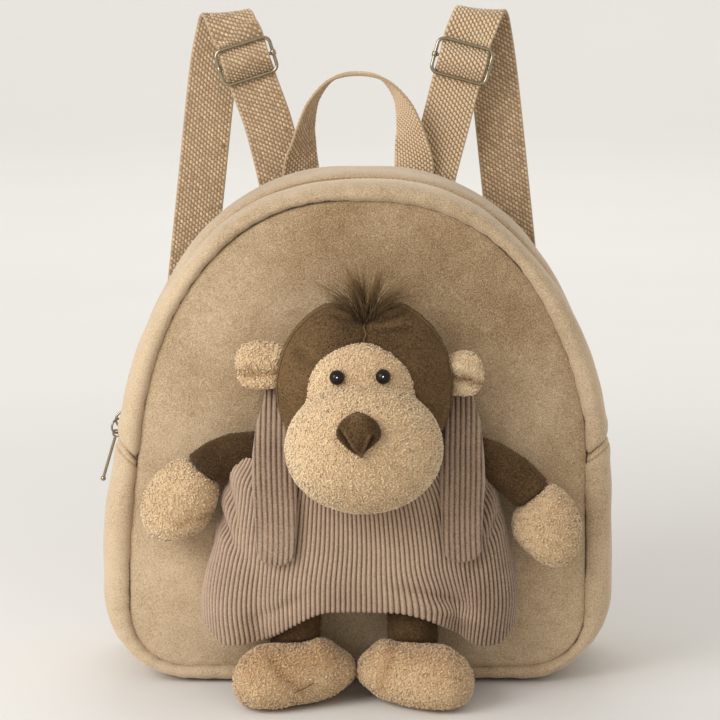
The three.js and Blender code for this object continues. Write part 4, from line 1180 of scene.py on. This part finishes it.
def earForm(ear):
    # squarer than the solid, longer towards the head, with a fold across the front and a roll above it
    def shape(points, normals):
        x, z, fold = earFold(ear, points)
        squarer = (np.hypot(x, z) / np.maximum((x ** 4 + z ** 4) ** 0.25, 1e-6) - 1) * ear["square"]
        moved = points.copy()
        way, stretch = ear["inward"]
        inward = way * stretch * smoothStep(way * x, *earLook["inwardOver"])
        moved[:, 0] += x * squarer * ear["half"][0] + inward
        moved[:, 2] += z * squarer * ear["half"][1]
        front = smoothStep(-normals[:, 1], *earLook["front"])
        moved[:, 1] += front * ear["depth"] * hill(fold, earLook["foldAt"], ear["crease"][3])
        moved[:, 1] -= front * ear["roll"] * hill(fold, *earLook["rollAt"])
        return moved
    return shape


def earShade(ear):
    # painted shade in the fold and painted light on the roll above it, with the ear's lift as painted light
    # over all of it
    def shade(points):
        _, _, fold = earFold(ear, points)
        light, lightAt, lightWidth = earLook["rollPaintedLight"]
        dark = ear["line"] * hill(fold, earLook["foldAt"], earLook["lineWidth"])
        return ear["lift"] + light * hill(fold, lightAt, lightWidth) - dark
    return shade


def awayFrom(points, start, end):
    # the distance from a line, as seen from the front
    run = np.subtract(end, start)
    along = np.clip((points[:, [0, 2]] - start) @ run / (run @ run), 0, 1)
    return np.linalg.norm(points[:, [0, 2]] - start - along[:, None] * run, axis=1)


foldLook = {"front": (0, 0.4), "dark": 0.22, "narrower": 0.8, "levelOver": (8, 28)}


def pressFolds(points, normals, folds):
    press = sum(depth * hill(awayFrom(points, start, end), 0, width) for start, end, width, depth in folds)
    return normals * (press * smoothStep(-normals[:, 1], *foldLook["front"]))[:, None]


def foldShade(look):
    # painted shade in the folds, and a level that may rise or fall with height; on the feet that level is
    # painted shade, deeper higher up under the dress
    def shade(points):
        low, high = look["shade"]
        dark, narrower = foldLook["dark"], foldLook["narrower"]
        lines = sum(dark * depth * hill(awayFrom(points, start, end), 0, width * narrower)
                    for start, end, width, depth in look["folds"])
        return mix(low, high, smoothStep(points[:, 2], *foldLook["levelOver"])) - lines
    return shade


paws = {
    "left": {"corners": (((-79.5, 88), (0.55, -0.83), 11, 2.2),),
             "folds": (((-83, 86), (-66, 90), 3.0, 1.0),), "shade": (0, 0)},
    "right": {"corners": (((84, 73), (-0.6, -0.8), 9, 3.0),),
              "folds": (((76, 76), (84, 64), 2.5, 0.8),), "shade": (0, 0)},
}  # corners that are pressed in: place, way out, reach and depth; folds: two ends, width and depth


def pawForm(side):
    def shape(points, normals):
        moved = points - pressFolds(points, normals, paws[side]["folds"])
        for (x, z), (wayX, wayZ), reach, depth in paws[side]["corners"]:
            out = (points[:, 0] - x) * wayX + (points[:, 2] - z) * wayZ
            press = depth * smoothStep(out, 0, reach)
            moved[:, 0] -= press * wayX
            moved[:, 2] -= press * wayZ
        return moved
    return shape


feet = {
    "left": {"tip": -1.4, "reach": 0.6, "ankles": ((-17, 6, 2.6), (-47, 8, 1.4)),
             "folds": (((-40, 24), (-25, 9), 2.2, 0.9),), "shade": (-0.1, -0.35)},
    "right": {"tip": 0.6, "reach": -1.0, "ankles": ((12, 6, 2.8), (41, 7, 1.2)),
              "folds": (((17, 27), (11, 9), 3.2, 0.9),), "shade": (-0.05, -0.25)},
}  # reach: how far the tips stretch towards each other; ankles: x, width, rise; shade: painted shade low and high on the foot, deeper up under the dress
footLook = {"pinch": 0.3, "tipWidth": 8, "middleZ": 16, "upper": (12, 26), "floorZ": 0.2}


def footForm(side):
    def shape(points, normals):
        foot = feet[side]
        moved = points.copy()
        atTip = hill(points[:, 0], foot["tip"], footLook["tipWidth"])
        pinch = 1 - footLook["pinch"] * atTip
        moved[:, 2] = footLook["middleZ"] + (points[:, 2] - footLook["middleZ"]) * pinch
        moved[:, 0] += foot["reach"] * atTip
        upper = smoothStep(points[:, 2], *footLook["upper"])
        for x, width, rise in foot["ankles"]:
            moved[:, 2] += rise * hill(points[:, 0], x, width) * upper
        moved -= pressFolds(points, normals, foot["folds"])
        moved[:, 2] = np.maximum(moved[:, 2], footLook["floorZ"])
        return moved
    return shape


faceLook = {"browLean": 1.4, "browOver": (154, 171), "leftPaintedLight": (0.16, 4, 30),
            "rightPaintedLight": (0.08, 14, 32)}


def sideLights(points, look):
    # painted light: lighter towards both sides, each with its strength and the stretch it grows over
    left, right = look["leftPaintedLight"], look["rightPaintedLight"]
    return left[0] * smoothStep(-points[:, 0], *left[1:]) + right[0] * smoothStep(points[:, 0], *right[1:])


def faceForm(points, normals):
    # the brow leans a little further forward than the solid, clear of the head's pile
    moved = points.copy()
    moved[:, 1] -= faceLook["browLean"] * smoothStep(points[:, 2], *faceLook["browOver"])
    return moved


def faceShade(points):
    return sideLights(points, faceLook)


sherpaPiece("sherpa_face", "face", 31, offHead, faceForm, faceShade, perSquare=1.21, size=1.1,
            relax=12, back=4.0)
for side, seed in (("left", 34), ("right", 37)):
    sherpaPiece("sherpa_ear_" + side, "ear_" + side, seed, offPanel, earForm(ears[side]),
                earShade(ears[side]))
    sherpaPiece("sherpa_paw_" + side, "paw_" + side, seed + 10, offPanel, pawForm(side),
                foldShade(paws[side]))
    sherpaPiece("sherpa_foot_" + side, "foot_" + side, seed + 20, offPanel, footForm(side),
                foldShade(feet[side]))
footSeam = {"line": [(-29.8, 10.4), (-27.5, 11.4), (-25, 12.2), (-22.5, 13.4), (-20.4, 14.2)], "lift": 0.45,
            "radius": 0.26, "tone": 0.8}
seamPath = laidOn(hitTree(bpy.data.meshes["sherpa_foot_left"]), footSeam["line"], footSeam["lift"])
stitching = wireMesh("foot_seam", [seamPath], footSeam["radius"], roundness=1)
fillTone(stitching, footSeam["tone"])
addPiece("foot_seam", stitching, plush, "brown_plush")
print("sherpa made")


# Brown plush: smooth stuffed forms with a short pile

pile = {"length": 1.1, "width": 0.2, "perSquare": 1.0, "tilt": 0.45, "sizes": (0.7, 1.3), "vary": 0.25,
        "out": 0.25, "tones": (-0.6, 1.1), "panelY": -50, "panelFacing": 0.5, "upFacing": 0.2}


def pileTip():
    bm = bmesh.new()
    bmesh.ops.create_cone(bm, cap_ends=False, segments=3, radius1=pile["width"], radius2=0,
                          depth=pile["length"])
    bm.verts.index_update()
    return bm


def plushPiece(name, node, seed, keep, voxel=1.6, relax=8, shape=None, shade=0.0, tone=0.3, nap=None):
    body = shapedCopy(name, node, voxel, relax)
    fillTone(body, tone)
    if shape:
        points, normals = meshPoints(body)
        # nap adds painted light by place; shade times lift paints shade in the grooves and light on their
        # lips
        tones = tone + nap(points) if nap else tone
        lift = shape(points, normals)
        movePoints(body, lambda points, normals: points + normals * lift[:, None])
        body.attributes["tone"].data.foreach_set("value", np.clip(tones + shade * lift, *pile["tones"]))
    addPiece(name, body, plush, "brown_plush", node)
    if keep:
        places, facing = scatterOn(body, pile["perSquare"], seed, keep)
        draw = np.random.default_rng(seed + 1)
        sizes = draw.uniform(*pile["sizes"], len(places))
        tones = tone + pile["vary"] * draw.normal(size=len(places)) + (nap(places) if nap else 0)
        axes = standingAxes(facing, pile["tilt"], seed + 2)
        tips = manyCopies(name + "_pile", pileTip(), places + facing * pile["out"], axes, sizes, tones)
        addPiece(name + "_pile", tips, plush, "brown_plush")
    return body


def seenBrown(points, normals):
    # no pile where a piece lies on the panel
    facing = (normals[:, 1] < pile["panelFacing"]) | (normals[:, 2] > pile["upFacing"])
    return (points[:, 1] < pile["panelY"]) & facing


creaseLook = {"front": (0.05, 0.5), "starts": (-0.15, 0.12), "ends": (1.12, 0.95), "lipOff": 1.7}


def creaseLift(points, normals, creases, scale):
    # lines as seen from the front, in units of scale: each a groove, with a raised lip on one side
    front = smoothStep(-normals[:, 1], *creaseLook["front"])
    lift = np.zeros(len(points))
    for start, end, depth, width, lip in creases:
        start, end = np.array(start, dtype=float), np.array(end, dtype=float)
        run = (end - start) / np.linalg.norm(end - start)
        offset = points - start
        along = offset @ run / np.linalg.norm(end - start)
        off = offset @ [-run[1], run[0]] * scale
        reach = smoothStep(along, *creaseLook["starts"]) * smoothStep(along, *creaseLook["ends"])
        lift -= reach * depth * hill(off, 0, width)
        lift += reach * abs(lip) * hill(off, np.sign(lip) * width * creaseLook["lipOff"], width)
    return lift * front


nose = {"at": (0.6, 137.5), "half": (10.6, 10.2), "middle": 0.8, "middleAt": (0, 0.45),
        "middleOver": (-1, 0.6), "slant": (0.8, 0.1), "front": (0.1, 0.6), "peak": 1.0,
        "peakAt": (-0.1, 0.35), "peakOver": (0.55, 1),
        "creases": (((-0.8, 0.3), (0.03, -1.03), 2.4, 0.95, 1.3),
                    ((0.62, 0.09), (0.19, -0.9), 1.8, 0.9, -0.9))}  # two ends, depth, width and lip


def noseForm(points, normals):
    at = np.stack([(points[:, 0] - nose["at"][0]) / nose["half"][0],
                   (points[:, 2] - nose["at"][1]) / nose["half"][1]], -1)
    lift = creaseLift(at, normals, nose["creases"], nose["half"][0])
    lift += nose["peak"] * hill(at[:, 0], *nose["peakAt"]) * smoothStep(at[:, 1], *nose["peakOver"])
    slope, slopeFrom = nose["slant"]
    slanted = at[:, 1] + slope * np.abs(at[:, 0] - slopeFrom)
    inside = smoothStep(slanted, *nose["middleOver"]) * hill(at[:, 0], *nose["middleAt"])
    return lift + nose["middle"] * inside * smoothStep(-normals[:, 1], *nose["front"])


crown = (((3.6, 187), (3.2, 174), 1.2, 1.3, 0), ((6, 183), (22, 188), 0.9, 1.2, 0.5),
         ((7, 180), (25, 181), 0.7, 1.3, 0.5), ((1, 183), (-12, 187), 0.6, 1.2, -0.4),
         ((-30, 171), (-18, 163), 0.6, 2.5, 0.3))
headLook = {"leftPaintedLight": (0.52, 4, 30), "rightPaintedLight": (0.32, 8, 34), "middle": (3.3, 150), "reach": 15.0,
            "step": 0.2, "edge": (16, 98, 40), "edgeIn": 1.0, "edgeLift": 0.3, "seam": (184, 173, 16),
            "seamX": 3.4, "seamWave": (0.45, 1.1), "seamLift": 0.15, "seamRadius": 0.36, "seamAndHighlightTone": 1.1}


def headForm(points, normals):
    return creaseLift(points[:, [0, 2]], normals, crown, 1)


def headPaintedLight(points):
    return sideLights(points, headLook)


def headOutline(angles):
    # a line just inside the edge of the head as seen from the front
    line = []
    middle = np.array(headLook["middle"])
    for angle in np.radians(angles):
        way = np.array([math.sin(angle), math.cos(angle)])
        reach = headLook["reach"]
        while len(laidOn(headTree, [middle + reach * way], 0)):
            reach += headLook["step"]
        line.append(middle + (reach - headLook["edgeIn"]) * way)
    return line


head = plushPiece("plush_head", "head", 61, seenBrown, shape=headForm, shade=0.5, nap=headPaintedLight)
headTree = hitTree(head)
# the centre seam is light stitching; the lines just inside the head's edge are seam ridges toned as light,
# partly a painted highlight where the pile catches the light
waveHeight, waveTurn = headLook["seamWave"]
wavy = [(headLook["seamX"] + waveHeight * math.sin(waveTurn * z), z) for z in np.linspace(*headLook["seam"])]
seamAndHighlightPaths = [laidOn(headTree, wavy, headLook["seamLift"])]
for side in (-1, 1):
    outline = headOutline(side * np.linspace(*headLook["edge"]))
    seamAndHighlightPaths.append(laidOn(headTree, outline, headLook["edgeLift"]))
seamsAndHighlight = wireMesh("head_seams_and_highlight", seamAndHighlightPaths, headLook["seamRadius"], roundness=1)
fillTone(seamsAndHighlight, headLook["seamAndHighlightTone"])
addPiece("head_seams_and_highlight", seamsAndHighlight, plush, "brown_plush")
plushPiece("plush_nose", "nose", 64, seenBrown, voxel=0.5, relax=6, shape=noseForm, shade=0.6,
           tone=0.0)
plushPiece("plush_torso", "torso", 67, None, voxel=2.0, tone=-0.1)  # inside the dress, so no pile
# the arms differ in tone, the left darker than the right: painted shade
for side, seed, armPaintedTone in (("left", 70, -0.1), ("right", 76, 0.24)):
    plushPiece("plush_arm_" + side, "arm_" + side, seed, seenBrown, tone=armPaintedTone)
    plushPiece("plush_leg_" + side, "leg_" + side, seed + 3, seenBrown, tone=0.2)
print("brown plush made")


# Eyes: glossy domes

eyeGroup = bpy.data.collections.new("eyes")  # what the catch light shines on
eyes = {"radius": 3.5, "eye_left": (-9.4, -102, 160.6), "eye_right": (11.8, -102, 161)}
for node in ("eye_left", "eye_right"):
    name = "glossy_" + node
    ball = bmesh.new()
    spot = Matrix.Translation(Vector(eyes[node]) * mm)
    bmesh.ops.create_uvsphere(ball, u_segments=40, v_segments=24, radius=eyes["radius"] * mm, matrix=spot)
    eyeGroup.objects.link(addPiece(name, toMesh(name, ball), eyeGloss, "eye_gloss", node))


# Hair tuft: thin strands that fan out of one root on the crown

tuft = {"x": 4, "y": -79.5, "z": 181, "rootWidth": 5.5, "rootDepth": 2.6, "rootVary": 0.8, "locks": 34,
        "perLock": 18, "steps": 7, "thickness": 0.14, "taper": (1.1, 0.9), "spread": 76, "leanVary": 6,
        "length": (25, 42), "strand": (0.62, 1.05), "sideShorter": 0.3, "back": 7, "sweep": 12, "droop": 8,
        "gather": 0.65, "own": (1.5, 1.5, 0.6), "fray": (1.5, 1.5, 0.8)}


def hairMesh():
    # curved locks that fan out of one root, each of strands that close up towards its tip
    draw = np.random.default_rng(81)
    t = np.linspace(0, 1, tuft["steps"] + 1)
    paths = []
    for i in range(tuft["locks"]):
        lean = mix(-tuft["spread"], tuft["spread"], (i + 0.5) / tuft["locks"])
        lean = lean + draw.normal() * tuft["leanVary"]
        length = draw.uniform(*tuft["length"]) * (1 - tuft["sideShorter"] * abs(lean) / tuft["spread"])
        back = draw.normal() * tuft["back"]
        sweep = draw.normal() * tuft["sweep"]
        droop = abs(draw.normal()) * tuft["droop"]
        rootX = tuft["x"] + tuft["rootWidth"] / 2 * lean / tuft["spread"] + draw.normal() * tuft["rootVary"]
        rootY = tuft["y"] + draw.normal() * tuft["rootDepth"] / 2
        for _ in range(tuft["perLock"]):
            own = draw.normal(size=3) * tuft["own"] * (1 - tuft["gather"] * t[:, None])
            fray = draw.normal(size=3) * tuft["fray"] * t[:, None] ** 2.5
            angle = np.radians(lean * mix(0.35, 1, t ** 0.8) + (sweep + np.sign(lean) * droop) * t ** 2)
            reach = length * draw.uniform(*tuft["strand"])
            path = np.stack([rootX + np.cumsum(np.sin(angle)) * reach / len(t), rootY + back * t ** 1.5,
                             tuft["z"] + np.cumsum(np.cos(angle)) * reach / len(t)], -1)
            paths.append(path + own + fray)
    thick, thinner = tuft["taper"]
    return wireMesh("hair_strands", paths, tuft["thickness"], taper=thick - thinner * t, roundness=0)


addPiece("hair_strands", hairMesh(), hairPile, "hair", "hair_tuft")
print("eyes and hair made")


# Corduroy dress: a ribbed sheet from neck to hem, gathered over the body

dress = {"middle": 1.6, "squareness": 0.4, "ribs": 84, "perRib": 4, "ribPower": 3, "ribHeight": 0.9,
         "ribMiddle": 0.7, "rows": 44, "hemRows": 8, "hemRadius": 2.2, "hemTurn": 165, "thickness": 1.6,
         "off": 0.7, "sweep": 6.0, "sweepAt": (36, 15), "sweepOver": (70, 42), "lump": (0.5, 30, 91),
         "tone": 0.04, "ribPaintedShade": (0.8, 0.9), "rightShade": (0.3, 20, 70)}
dressEdge = {"neck": (107, 117), "neckOver": (12, 45), "hem": (44, 26), "hemOver": (14, 58), "cornerRise": 8,
             "cornerOver": (66, 76)}
dressRows = [{"at": 0, "left": 60, "right": 56, "deep": 26},
             {"at": 0.2, "left": 66, "right": 65.5, "deep": 30},
             {"at": 0.5, "left": 70.5, "right": 71.5, "deep": 33},
             {"at": 0.8, "left": 76, "right": 75.5, "deep": 32},
             {"at": 1, "left": 76.5, "right": 76, "deep": 29}]
hemFolds = [(-62, 6, 1.5), (-47, 6, -3.5), (-18, 14, 1.5), (22, 12, 1), (43, 7, -5),
            (60, 6, 2)]  # x, width, rise
dents = [(-54, 106, 5, 9, 30, 3.0), (-60.5, 98, 2.2, 12, 15, -3.0), (-64, 84, 2.2, 12, 25, -2.2),
         (-56, 74, 3, 16, 30, -1.5), (36, 50, 3, 18, 72, -2.6), (40, 44, 4, 16, 70, 2.2),
         (60, 95, 2.2, 13, -12, -2.4), (65, 84, 2, 10, -20, -1.8), (54, 62, 3, 14, -20, -1.6),
         (-36, 46, 3, 14, -62, -1.6)]  # x, z, width, length, lean, rise


def dressColumn(name, v):
    perRow = 50  # brings both columns to a like size for the smooth path
    table = smoothPath(np.stack([column(dressRows, "at"), column(dressRows, name) / perRow], -1), 20)
    return np.interp(v, table[:, 0], table[:, 1]) * perRow


def dressEdges(x):
    # heights of the neckline and of the hem above or below a point
    off = np.abs(x - dress["middle"])
    top = mix(*dressEdge["neck"], smoothStep(off, *dressEdge["neckOver"]))
    hem = mix(*dressEdge["hem"], smoothStep(off, *dressEdge["hemOver"]))
    return top, hem + dressEdge["cornerRise"] * smoothStep(off, *dressEdge["cornerOver"])


def dressStandOff(x, v, share):
    folds = sum(rise * hill(x, at, width) for at, width, rise in hemFolds)
    return share * (dressColumn("deep", v) + folds * smoothStep(v, 0.3, 1))


def ribRelief(phase):
    return 1 - np.abs(2 * (phase % 1) - 1) ** dress["ribPower"]


def dressTable():
    columns = dress["ribs"] * dress["perRib"]
    turn = np.linspace(0, math.pi, 900)
    rows = []
    for v in np.linspace(0, 1, dress["rows"] + 1):
        toLeft = np.cos(turn)
        x = dress["middle"] - toLeft * np.where(toLeft > 0, dressColumn("left", v), dressColumn("right", v))
        top, hem = dressEdges(x)
        z = mix(top, hem + dress["hemRadius"], v)
        y = panelFace(x, z) - dress["off"] - dressStandOff(x, v, np.sin(turn) ** dress["squareness"])
        (line,), _ = evenSteps(np.stack([x, y, z], -1), columns)
        rows.append(line)
    table = np.array(rows)
    normals = tableNormals(table)
    normals *= np.sign(-normals[..., 1].mean())
    for x, z, width, length, lean, rise in dents:
        c, s = math.cos(math.radians(lean)), math.sin(math.radians(lean))
        offX, offZ = table[..., 0] - x, table[..., 2] - z
        amount = rise * hill(offX * c + offZ * s, 0, width) * hill(offZ * c - offX * s, 0, length)
        table = table + normals * amount[..., None]
    lump, lumpLength, lumpSeed = dress["lump"]
    table = table + normals * (lump * waves(table, lumpLength, lumpSeed))[..., None]
    low = smoothStep(table[..., 2], *dress["sweepOver"])
    table[..., 0] += dress["sweep"] * hill(table[..., 0], *dress["sweepAt"]) * low
    # the hem rolls under itself
    turn = np.linspace(0, math.radians(dress["hemTurn"]), dress["hemRows"] + 1)[1:, None, None]
    out = unit(normals[-1] * [1, 1, 0])
    down = np.array([0, 0, -1.0])
    roll = table[-1] + dress["hemRadius"] * (out * (np.cos(turn) - 1) + down * np.sin(turn))
    table = np.concatenate([table, roll])
    normals = tableNormals(table)
    normals *= np.sign(-normals[:dress["rows"], :, 1].mean())
    relief = ribRelief(np.linspace(0, dress["ribs"], columns + 1))
    table = table + normals * (dress["ribHeight"] * (relief - dress["ribMiddle"]))[None, :, None]
    # painted shade: darker in the grooves between the ribs, and towards the right side
    light, power = dress["ribPaintedShade"]
    dark, darkFrom, darkTo = dress["rightShade"]
    tones = dress["tone"] + light * relief[None] ** power
    return table, tones - dark * smoothStep(table[..., 0], darkFrom, darkTo)


dressPoints, dressTones = dressTable()
dressMesh = sheetMesh("corduroy_dress", dressPoints, dressTones)
dressPiece = addPiece("corduroy_dress", dressMesh, corduroy, "corduroy", "dress")
wall = dressPiece.modifiers.new("thickness", "SOLIDIFY")
wall.thickness = dress["thickness"] * mm
wall.offset = -1


# Dress straps: ribbed tabs over the shoulders, with rounded ends

tab = {"thickness": 3.2, "ribs": 8, "ribPitch": 2.5, "perRib": 6, "ribHeight": 0.85, "ribMiddle": 0.6,
       "steps": 120, "tip": 8.5, "tipPower": 2.4, "least": 0.6, "backWidth": 0.7, "dressTop": 116,
       "clear": 0.3, "gap": 0.7, "follow": 0.85, "followOver": (108, 94), "tone": -0.22, "backTone": 0.4,
       "widths": ((66, 80, 92, 108, 120, 133, 142, 151), (18, 19, 20, 21.5, 20.5, 17, 11, 9))}
tabRows = {
    "left": [(-39.2, -55.5, 151), (-39.3, -59, 146), (-39.4, -67, 134), (-39.4, -74, 121), (-39, -77.5, 108),
             (-38.4, -82, 92), (-38.3, -84, 79), (-38.8, -85, 68.2)],
    "right": [(50.2, -55, 147), (50.2, -58.5, 142), (50, -65.5, 131), (49.6, -72, 119), (49.4, -75.5, 107),
              (49.2, -80.5, 92), (49.4, -82.5, 80), (50, -83, 69.6)],
}


def softened(values, reach, axis):
    kernel = np.ones(2 * reach + 1) / (2 * reach + 1)

    def soften(line):
        return np.convolve(np.pad(line, reach, "edge"), kernel, "valid")

    return np.apply_along_axis(soften, axis, values)


def tabMesh(name, rows):
    (middles,), length = evenSteps(smoothPath(np.array(rows, dtype=float), 16), tab["steps"])
    run = unit(np.gradient(middles, axis=0))
    side = unit(np.cross(run, [0.0, 1, 0]))
    side *= np.sign(side[:, :1])
    out = np.cross(side, run)
    out *= np.sign(-out[:, 1:2].mean())
    count = tab["ribs"] * tab["perRib"]
    across = np.linspace(-1, 1, count + 1)
    fromEnd = np.linspace(length, 0, len(middles))
    power = tab["tipPower"]
    tip = (1 - np.clip(1 - fromEnd / tab["tip"], 0, 1) ** power) ** (1 / power)
    half = np.maximum(np.interp(middles[:, 2], *tab["widths"]) * tip, tab["least"])[:, None] / 2
    crown = np.sqrt(np.clip(1 - across ** 6, 0, 1)) * tab["thickness"] / 2
    relief = ribRelief(across[None] * half / tab["ribPitch"] + 0.5)
    face = crown + tab["ribHeight"] * (relief - tab["ribMiddle"]) * (1 - across ** 10)
    frontSide = middles[:, None] + side[:, None] * (across[None] * half)[..., None]
    frontSide = frontSide + out[:, None] * face[..., None]
    backAcross = np.array([tab["backWidth"], 0, -tab["backWidth"]])
    backSide = middles[:, None] + side[:, None] * (backAcross[None] * half)[..., None]
    backSide = backSide - out[:, None] * tab["thickness"] / 2
    table = np.concatenate([frontSide, backSide, frontSide[:, :1]], axis=1)
    nothing = 1e3  # stands for no dress below a point
    lowest = np.full(table.shape[:2], nothing)
    for i, j in np.ndindex(lowest.shape):
        if table[i, j, 2] < tab["dressTop"]:
            spot, _ = seenAt(dressTree, table[i, j, 0], table[i, j, 2])
            lowest[i, j] = spot.y / mm if spot else nothing
    # first clear of the dress as a whole, then laid down on it
    sink = np.maximum(table[..., 1] - (lowest - tab["clear"]), 0).max(axis=1)
    table[..., 1] -= softened(sink, 6, 0)[:, None]
    under = np.where(lowest < nothing, lowest, table[..., 1])[:, :count + 1]
    under = softened(softened(under, 9, 1), 6, 0)
    under = under[:, list(range(count + 1)) + [count * 17 // 20, count // 2, count * 3 // 20, 0]]
    above = ((table - middles[:, None]) * out[:, None]).sum(-1) + tab["thickness"] / 2
    laid = under - tab["gap"] - np.clip(above, 0, tab["thickness"] + 1)
    table[..., 1] = mix(table[..., 1], laid, tab["follow"] * smoothStep(table[..., 2], *tab["followOver"]))
    # painted shade: the grooves between ribs are darker, and the tabs as a whole are toned darker than the
    # dress
    light, power = dress["ribPaintedShade"]
    backTones = np.full((len(relief), 3), tab["backTone"])
    tones = np.concatenate([light * relief ** power + tab["tone"], backTones, relief[:, :1] * light], axis=1)
    return sheetMesh(name, table, tones, shut=True), length


dressTree = hitTree(dressMesh)
for side in ("left", "right"):
    mesh, length = tabMesh("corduroy_tab_" + side, tabRows[side])
    piece = addPiece("corduroy_tab_" + side, mesh, corduroy, "corduroy", "dress_strap_" + side)
print("dress made")


# Stage: a pale floor, a soft light from the left, one over the floor behind, one for the eyes and a pale sky

stage = {"floor": ("#e2e0dc", "#e7e5e1"), "cloud": (3.0, 2.0, 0.5), "rough": 0.85, "glow": 0.16,
         "glowColour": "#fdfdfb", "nearGlow": (0.6, 0.3, 1.0), "farGlow": (0.4, 2.5, 5.5), "radius": 4.2,
         "wall": 2.6, "cove": 1.2, "under": 0.0005, "sky": 0.7, "skyColour": (1.0, 0.98, 0.955, 1)}
lights = {
    "keyLight": {"place": (-0.74, -0.72, 0.6), "aim": (0, 0, 0.15), "size": 0.75, "power": 8.0,
                 "colour": (0.99, 0.99, 1.0), "only": None},
    "catchLight": {"place": (-0.03, -1.3, 0.36), "aim": (0, 0, 0.15), "size": 0.4, "power": 40.0,
                   "colour": (1.0, 1.0, 1.0), "only": eyeGroup},
    "backLight": {"place": (0, 2.2, 2.5), "aim": (0, 2.2, 0), "size": 2.2, "power": 20.0,
                  "colour": (1.0, 0.99, 0.97), "only": None},
}
view = {"lens": 126.85, "sensor": 36, "clipEnd": 50, "place": (0.0012, -1.25, 0.3465), "tilt": 81.2}


def floorFinish():
    material, shader, start, place = newFinish("paleFloor")
    cloud = start.noise(place, *stage["cloud"])
    away = start.node("VectorMath", {"operation": "LENGTH"}, {0: place}, "Value")
    smooth = {"interpolation_type": "SMOOTHSTEP"}
    nearShare, nearFrom, nearTo = stage["nearGlow"]
    farShare, farFrom, farTo = stage["farGlow"]
    near = start.node("MapRange", smooth, {0: away, 1: nearFrom, 2: nearTo})
    far = start.node("MapRange", smooth, {0: away, 1: farFrom, 2: farTo})
    # painted light: the floor glows more with distance from the middle, standing in for a bright wall behind
    glow = near * nearShare + far * farShare
    dark, pale = stage["floor"]
    feed(shader, {
        "Base Color": start.blend(cloud, tint(dark), tint(pale)),
        "Roughness": stage["rough"],
        "Emission Color": start.blend(glow, (0, 0, 0, 1), tint(stage["glowColour"])),
        "Emission Strength": stage["glow"],
    })
    return material


ground = bmesh.new()  # a wide round floor that curves up into a far wall
turn = np.linspace(0, math.pi / 2, 9)
bowl = [(0, 0)]
bowl += [(stage["radius"] + stage["cove"] * math.sin(a), stage["cove"] * (1 - math.cos(a))) for a in turn]
bowl.append((stage["radius"] + stage["cove"], stage["wall"]))
rail = [ground.verts.new((r, 0, z - stage["under"])) for r, z in bowl]
edges = [ground.edges.new(pair) for pair in zip(rail, rail[1:])]
bmesh.ops.spin(ground, geom=rail + edges, cent=(0, 0, 0), axis=(0, 0, 1), angle=2 * math.pi, steps=64,
               use_merge=True)
bmesh.ops.remove_doubles(ground, verts=ground.verts[:], dist=1e-5)
bmesh.ops.recalc_face_normals(ground, faces=ground.faces[:])
floor = bpy.data.objects.new("floor", toMesh("floor", ground))
floor.data.materials.append(floorFinish())
scene.collection.objects.link(floor)


for name, light in lights.items():
    lamp = bpy.data.lights.new(name, "AREA")
    lamp.shape = "DISK"
    lamp.size = light["size"]
    lamp.energy = light["power"]
    lamp.color = light["colour"]
    holder = bpy.data.objects.new(name, lamp)
    holder.location = light["place"]
    way = Vector(light["aim"]) - Vector(light["place"])
    holder.rotation_euler = way.to_track_quat("-Z", "Y").to_euler()
    holder.visible_camera = False
    if light["only"]:
        holder.light_linking.receiver_collection = light["only"]
    scene.collection.objects.link(holder)

sky = bpy.data.worlds.new("paleSky")
sky.use_nodes = True
background = sky.node_tree.nodes["Background"]
background.inputs["Color"].default_value = stage["skyColour"]
background.inputs["Strength"].default_value = stage["sky"]
scene.world = sky
scene.view_settings.view_transform = "Standard"

lens = bpy.data.cameras.new("camera")
lens.lens = view["lens"]
lens.sensor_width = view["sensor"]
lens.clip_end = view["clipEnd"]
camera = bpy.data.objects.new("camera", lens)
camera.location = view["place"]
camera.rotation_euler = (math.radians(view["tilt"]), 0, 0)
scene.collection.objects.link(camera)
scene.camera = camera

print("stage set")
